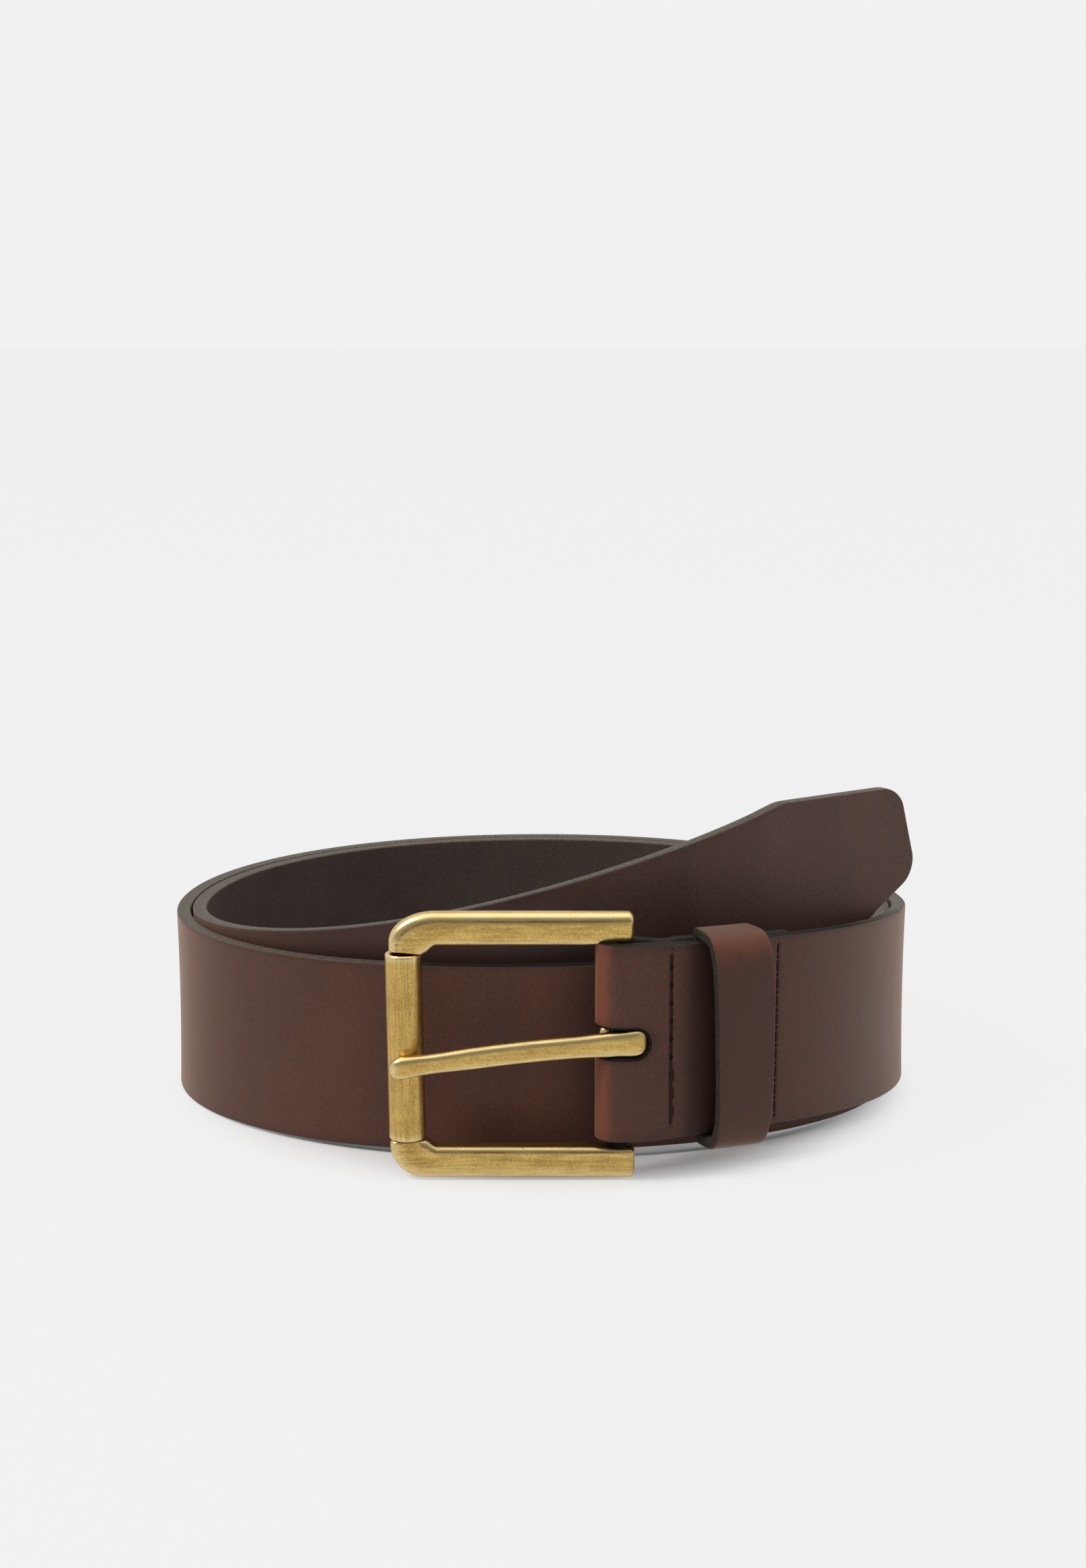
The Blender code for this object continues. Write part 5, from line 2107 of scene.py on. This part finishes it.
@dataclass
class Studio:
    """Floor, soft light and camera.

    Attributes:
        pale: Level of the pale background, as the camera sees it.
        floor_colour: Colour of the floor near the belt.
        floor_half, floor_drop: Half the floor's side, and how far it lies below the belt.
        front, front_ways: Level of the room on the camera's side, and where it changes to the
            pale level, as the y of the way looked.
        ceiling, overhead: How many times brighter the room is overhead, and where that starts
            and is full, as the z of the way looked.
        fill: How much of the room's level falls on things as light.
        floor_glow: How far the camera sees the floor at the background's level, under the belt
            and far from it.
        shadow_reach: Where the belt's shadow starts and stops fading, from the middle.
        camera_place: Where the camera stands.
        camera_pitch: How far it looks down.
        lens, sensor: Its focal length and the width of its sensor, in millimetres.
    """

    pale: float = 0.879
    floor_colour: float = 0.86
    floor_half: float = 4.0
    floor_drop: float = 0.0002
    front: float = 0.31
    front_ways: Pair = (-0.75, -0.10)
    ceiling: float = 1.95
    overhead: Pair = (0.55, 0.90)
    fill: float = 0.55
    floor_glow: Pair = (0.03, 0.95)
    shadow_reach: Pair = (0.066, 0.0865)
    camera_place: Triple = (0.00002, -0.6449, 0.19244)
    camera_pitch: float = 0.19028
    lens: float = 66.74
    sensor: float = 36.0

    @staticmethod
    def emptied(made: Material | bpy.types.World) -> Nodes:
        """The nodes of a new material or world, without the usual ones."""
        made.use_nodes = True
        made.node_tree.nodes.clear()
        return Nodes(made.node_tree)

    def floor(self) -> None:
        """A pale floor that keeps shadows near the belt and fades into the background."""
        mesh = bpy.data.meshes.new("floor")
        corners = np.array([[-1, -1, 0], [1, -1, 0], [1, 1, 0], [-1, 1, 0]]) * self.floor_half
        mesh.from_pydata(corners - [0, 0, self.floor_drop], [], [[0, 1, 2, 3]])
        material = bpy.data.materials.new("pale_floor")
        nodes = self.emptied(material)
        away = nodes.add("ShaderNodeVectorMath", {0: nodes.object_place()}, operation="LENGTH")
        numbers = (away.outputs["Value"], *self.shadow_reach, *self.floor_glow)
        inputs = dict(enumerate(numbers))
        far = nodes.add("ShaderNodeMapRange", inputs, interpolation_type="SMOOTHSTEP").outputs[0]
        near = nodes.add("ShaderNodeBsdfDiffuse", {"Color": (self.floor_colour,) * 3})
        glow = nodes.add("ShaderNodeEmission", {"Color": (self.pale,) * 3, "Strength": 1.0})
        shaders = {0: nodes.times(far, nodes.seen()), 1: near.outputs[0], 2: glow.outputs[0]}
        mixed = nodes.add("ShaderNodeMixShader", shaders)
        nodes.add("ShaderNodeOutputMaterial", {0: mixed.outputs[0]})
        mesh.materials.append(material)
        put("floor", mesh)

    def sky(self) -> None:
        """A pale room all round, which is darker on the camera's side and brighter overhead."""
        world = bpy.data.worlds.new("studio")
        nodes = self.emptied(world)
        way = nodes.add("ShaderNodeTexCoord").outputs["Generated"]
        ways = nodes.add("ShaderNodeSeparateXYZ", {0: way}).outputs
        level = nodes.span(ways["Y"], *self.front_ways, self.front, self.pale)
        level = nodes.times(level, nodes.span(ways["Z"], *self.overhead, 1.0, self.ceiling))
        level = nodes.times(level, nodes.span(nodes.seen(), 0.0, 1.0, self.fill, 1.0))
        light = nodes.add("ShaderNodeBackground", {"Color": (1.0, 1.0, 1.0), "Strength": level})
        nodes.add("ShaderNodeOutputWorld", {0: light.outputs[0]})
        bpy.context.scene.world = world

    @staticmethod
    def softbox(
        name: str,
        place: Triple,
        aim: Triple,
        size: float,
        watts: float,
        mirrored: bool = True,
    ) -> None:
        """A square area lamp at a place, turned to a point.

        Args:
            name: Name of the lamp.
            place: Where it hangs.
            aim: The point it faces.
            size: Length of its side.
            watts: Its power.
            mirrored: Whether metal mirrors it.
        """
        lamp = bpy.data.lights.new(name, "AREA")
        lamp.shape = "SQUARE"
        lamp.size = size
        lamp.energy = watts
        holder = put(name, lamp)
        holder.location = place
        holder.visible_glossy = mirrored
        way = Vector(aim) - Vector(place)
        holder.rotation_euler = way.to_track_quat("-Z", "Y").to_euler()

    def camera(self) -> None:
        """The camera at the photograph's viewing angle."""
        lens = bpy.data.cameras.new("camera")
        lens.lens = self.lens
        lens.sensor_width = self.sensor
        holder = put("camera", lens)
        holder.location = self.camera_place
        holder.rotation_euler = (QUARTER - self.camera_pitch, 0.0, 0.0)
        bpy.context.scene.camera = holder

    def build(self) -> None:
        """Sets up the whole studio."""
        self.floor()
        self.sky()
        self.softbox("key", (-0.98, -0.49, 1.22), (0.0, 0.0, 0.0), size=0.45, watts=13.0)
        place, aim = (0.7, -1.9, 0.45), (0.0, 0.0, 0.02)
        self.softbox("front_fill", place, aim, size=1.6, watts=13.0, mirrored=False)
        self.camera()
        bpy.context.scene.view_settings.view_transform = "Standard"


def build_leather(path: StrapPath) -> None:
    """The strap, its stitches, the keeper and its staple.

    Args:
        path: The strap's path.
    """
    leather = leather_group()
    flesh = FleshFinish("strap_flesh").material()
    thread = ThreadFinish("brown_thread").material()
    grain = GrainFinish("strap_grain", leather).material()
    cut = CutFinish("strap_edge").material()
    # The walls of the holes and the slot are much darker than the other cut edges: painted shade
    # inside them.
    inside = CutFinish("hole_wall", light=(0.050, 0.0290, 0.0220), roughness=0.9, gloss=0.0)
    strap = Strap(path).build([grain, flesh, cut, inside.material()])
    place_piece(strap, Body.STRAP, Slot.STRAP, "strap")
    own = ({"back_stitches": 3, "shown": (3, 11)}, {"hole": 0.0003})
    for number, (reach, lean) in enumerate(zip(path.rows, path.row_leans), start=1):
        row = StitchRow(path, path.front_at(reach), lean, **own[number - 1])
        front = row.build(f"front_stitches_{number}", thread)
        place_piece(front, Body.STRAP, Slot.THREAD, f"front_thread_{number}")
        back = StitchRow(path, path.flap_at(reach), -lean).build(f"back_stitches_{number}", thread)
        place_piece(back, Body.STRAP, Slot.THREAD, f"back_thread_{number}")
    loop_grain = GrainFinish("keeper_grain", leather, light=(0.078, 0.032, 0.023)).material()
    loop_cut = CutFinish("keeper_edge", light=(0.056, 0.0480, 0.0400), roughness=0.6, gloss=0.12)
    keeper = Keeper(path).build([loop_grain, flesh, loop_cut.material()])
    place_piece(keeper, Body.KEEPER, Slot.KEEPER, "keeper_loop")
    staple = Staple(path).build(SteelFinish("steel_wire").material())
    place_piece(staple, Body.KEEPER, Slot.STAPLE, "keeper_staple")


def build_brass(heel: Array) -> None:
    """The buckle's frame, roller and prong.

    Args:
        heel: Place of the heel bar's axis.
    """
    tarnish = patina_group()
    cast = BrassFinish("cast_brass", tarnish).material()
    rolled = BrassFinish("rolled_brass", tarnish, streaked=0.6, drawn=(1.0, 1.0, 0.04)).material()
    # The rods are painted nearly black: painted shade where the heel bar sits behind the leather
    # and the axle inside the roller.
    black, brown = (0.007, 0.005, 0.003), (0.010, 0.007, 0.004)
    rod_shade_brass = BrassFinish("rod_brass_painted_shade", tarnish, body=brown, patina=black).material()
    buckle = BuckleFrame(heel).build(cast, rod_shade_brass)
    place_piece(buckle, Body.FRAME, Slot.FRAME, "buckle_frame")
    play = 0.0003  # how far the roller lies to the side on its thinner axle
    roller = Roller(heel + [BuckleFrame.axle_x + play, 0.0, 0.0]).build(rolled)
    place_piece(roller, Body.ROLLER, Slot.ROLLER, "roller")
    prong = Prong(heel).build(cast)
    place_piece(prong, Body.PRONG, Slot.PRONG, "prong")


def main() -> None:
    """Builds the studio and every piece."""
    logging.basicConfig(level=logging.INFO)
    Studio().build()
    path = StrapPath()
    build_leather(path)
    build_brass(path.heel)


if __name__ == "__main__":
    main()
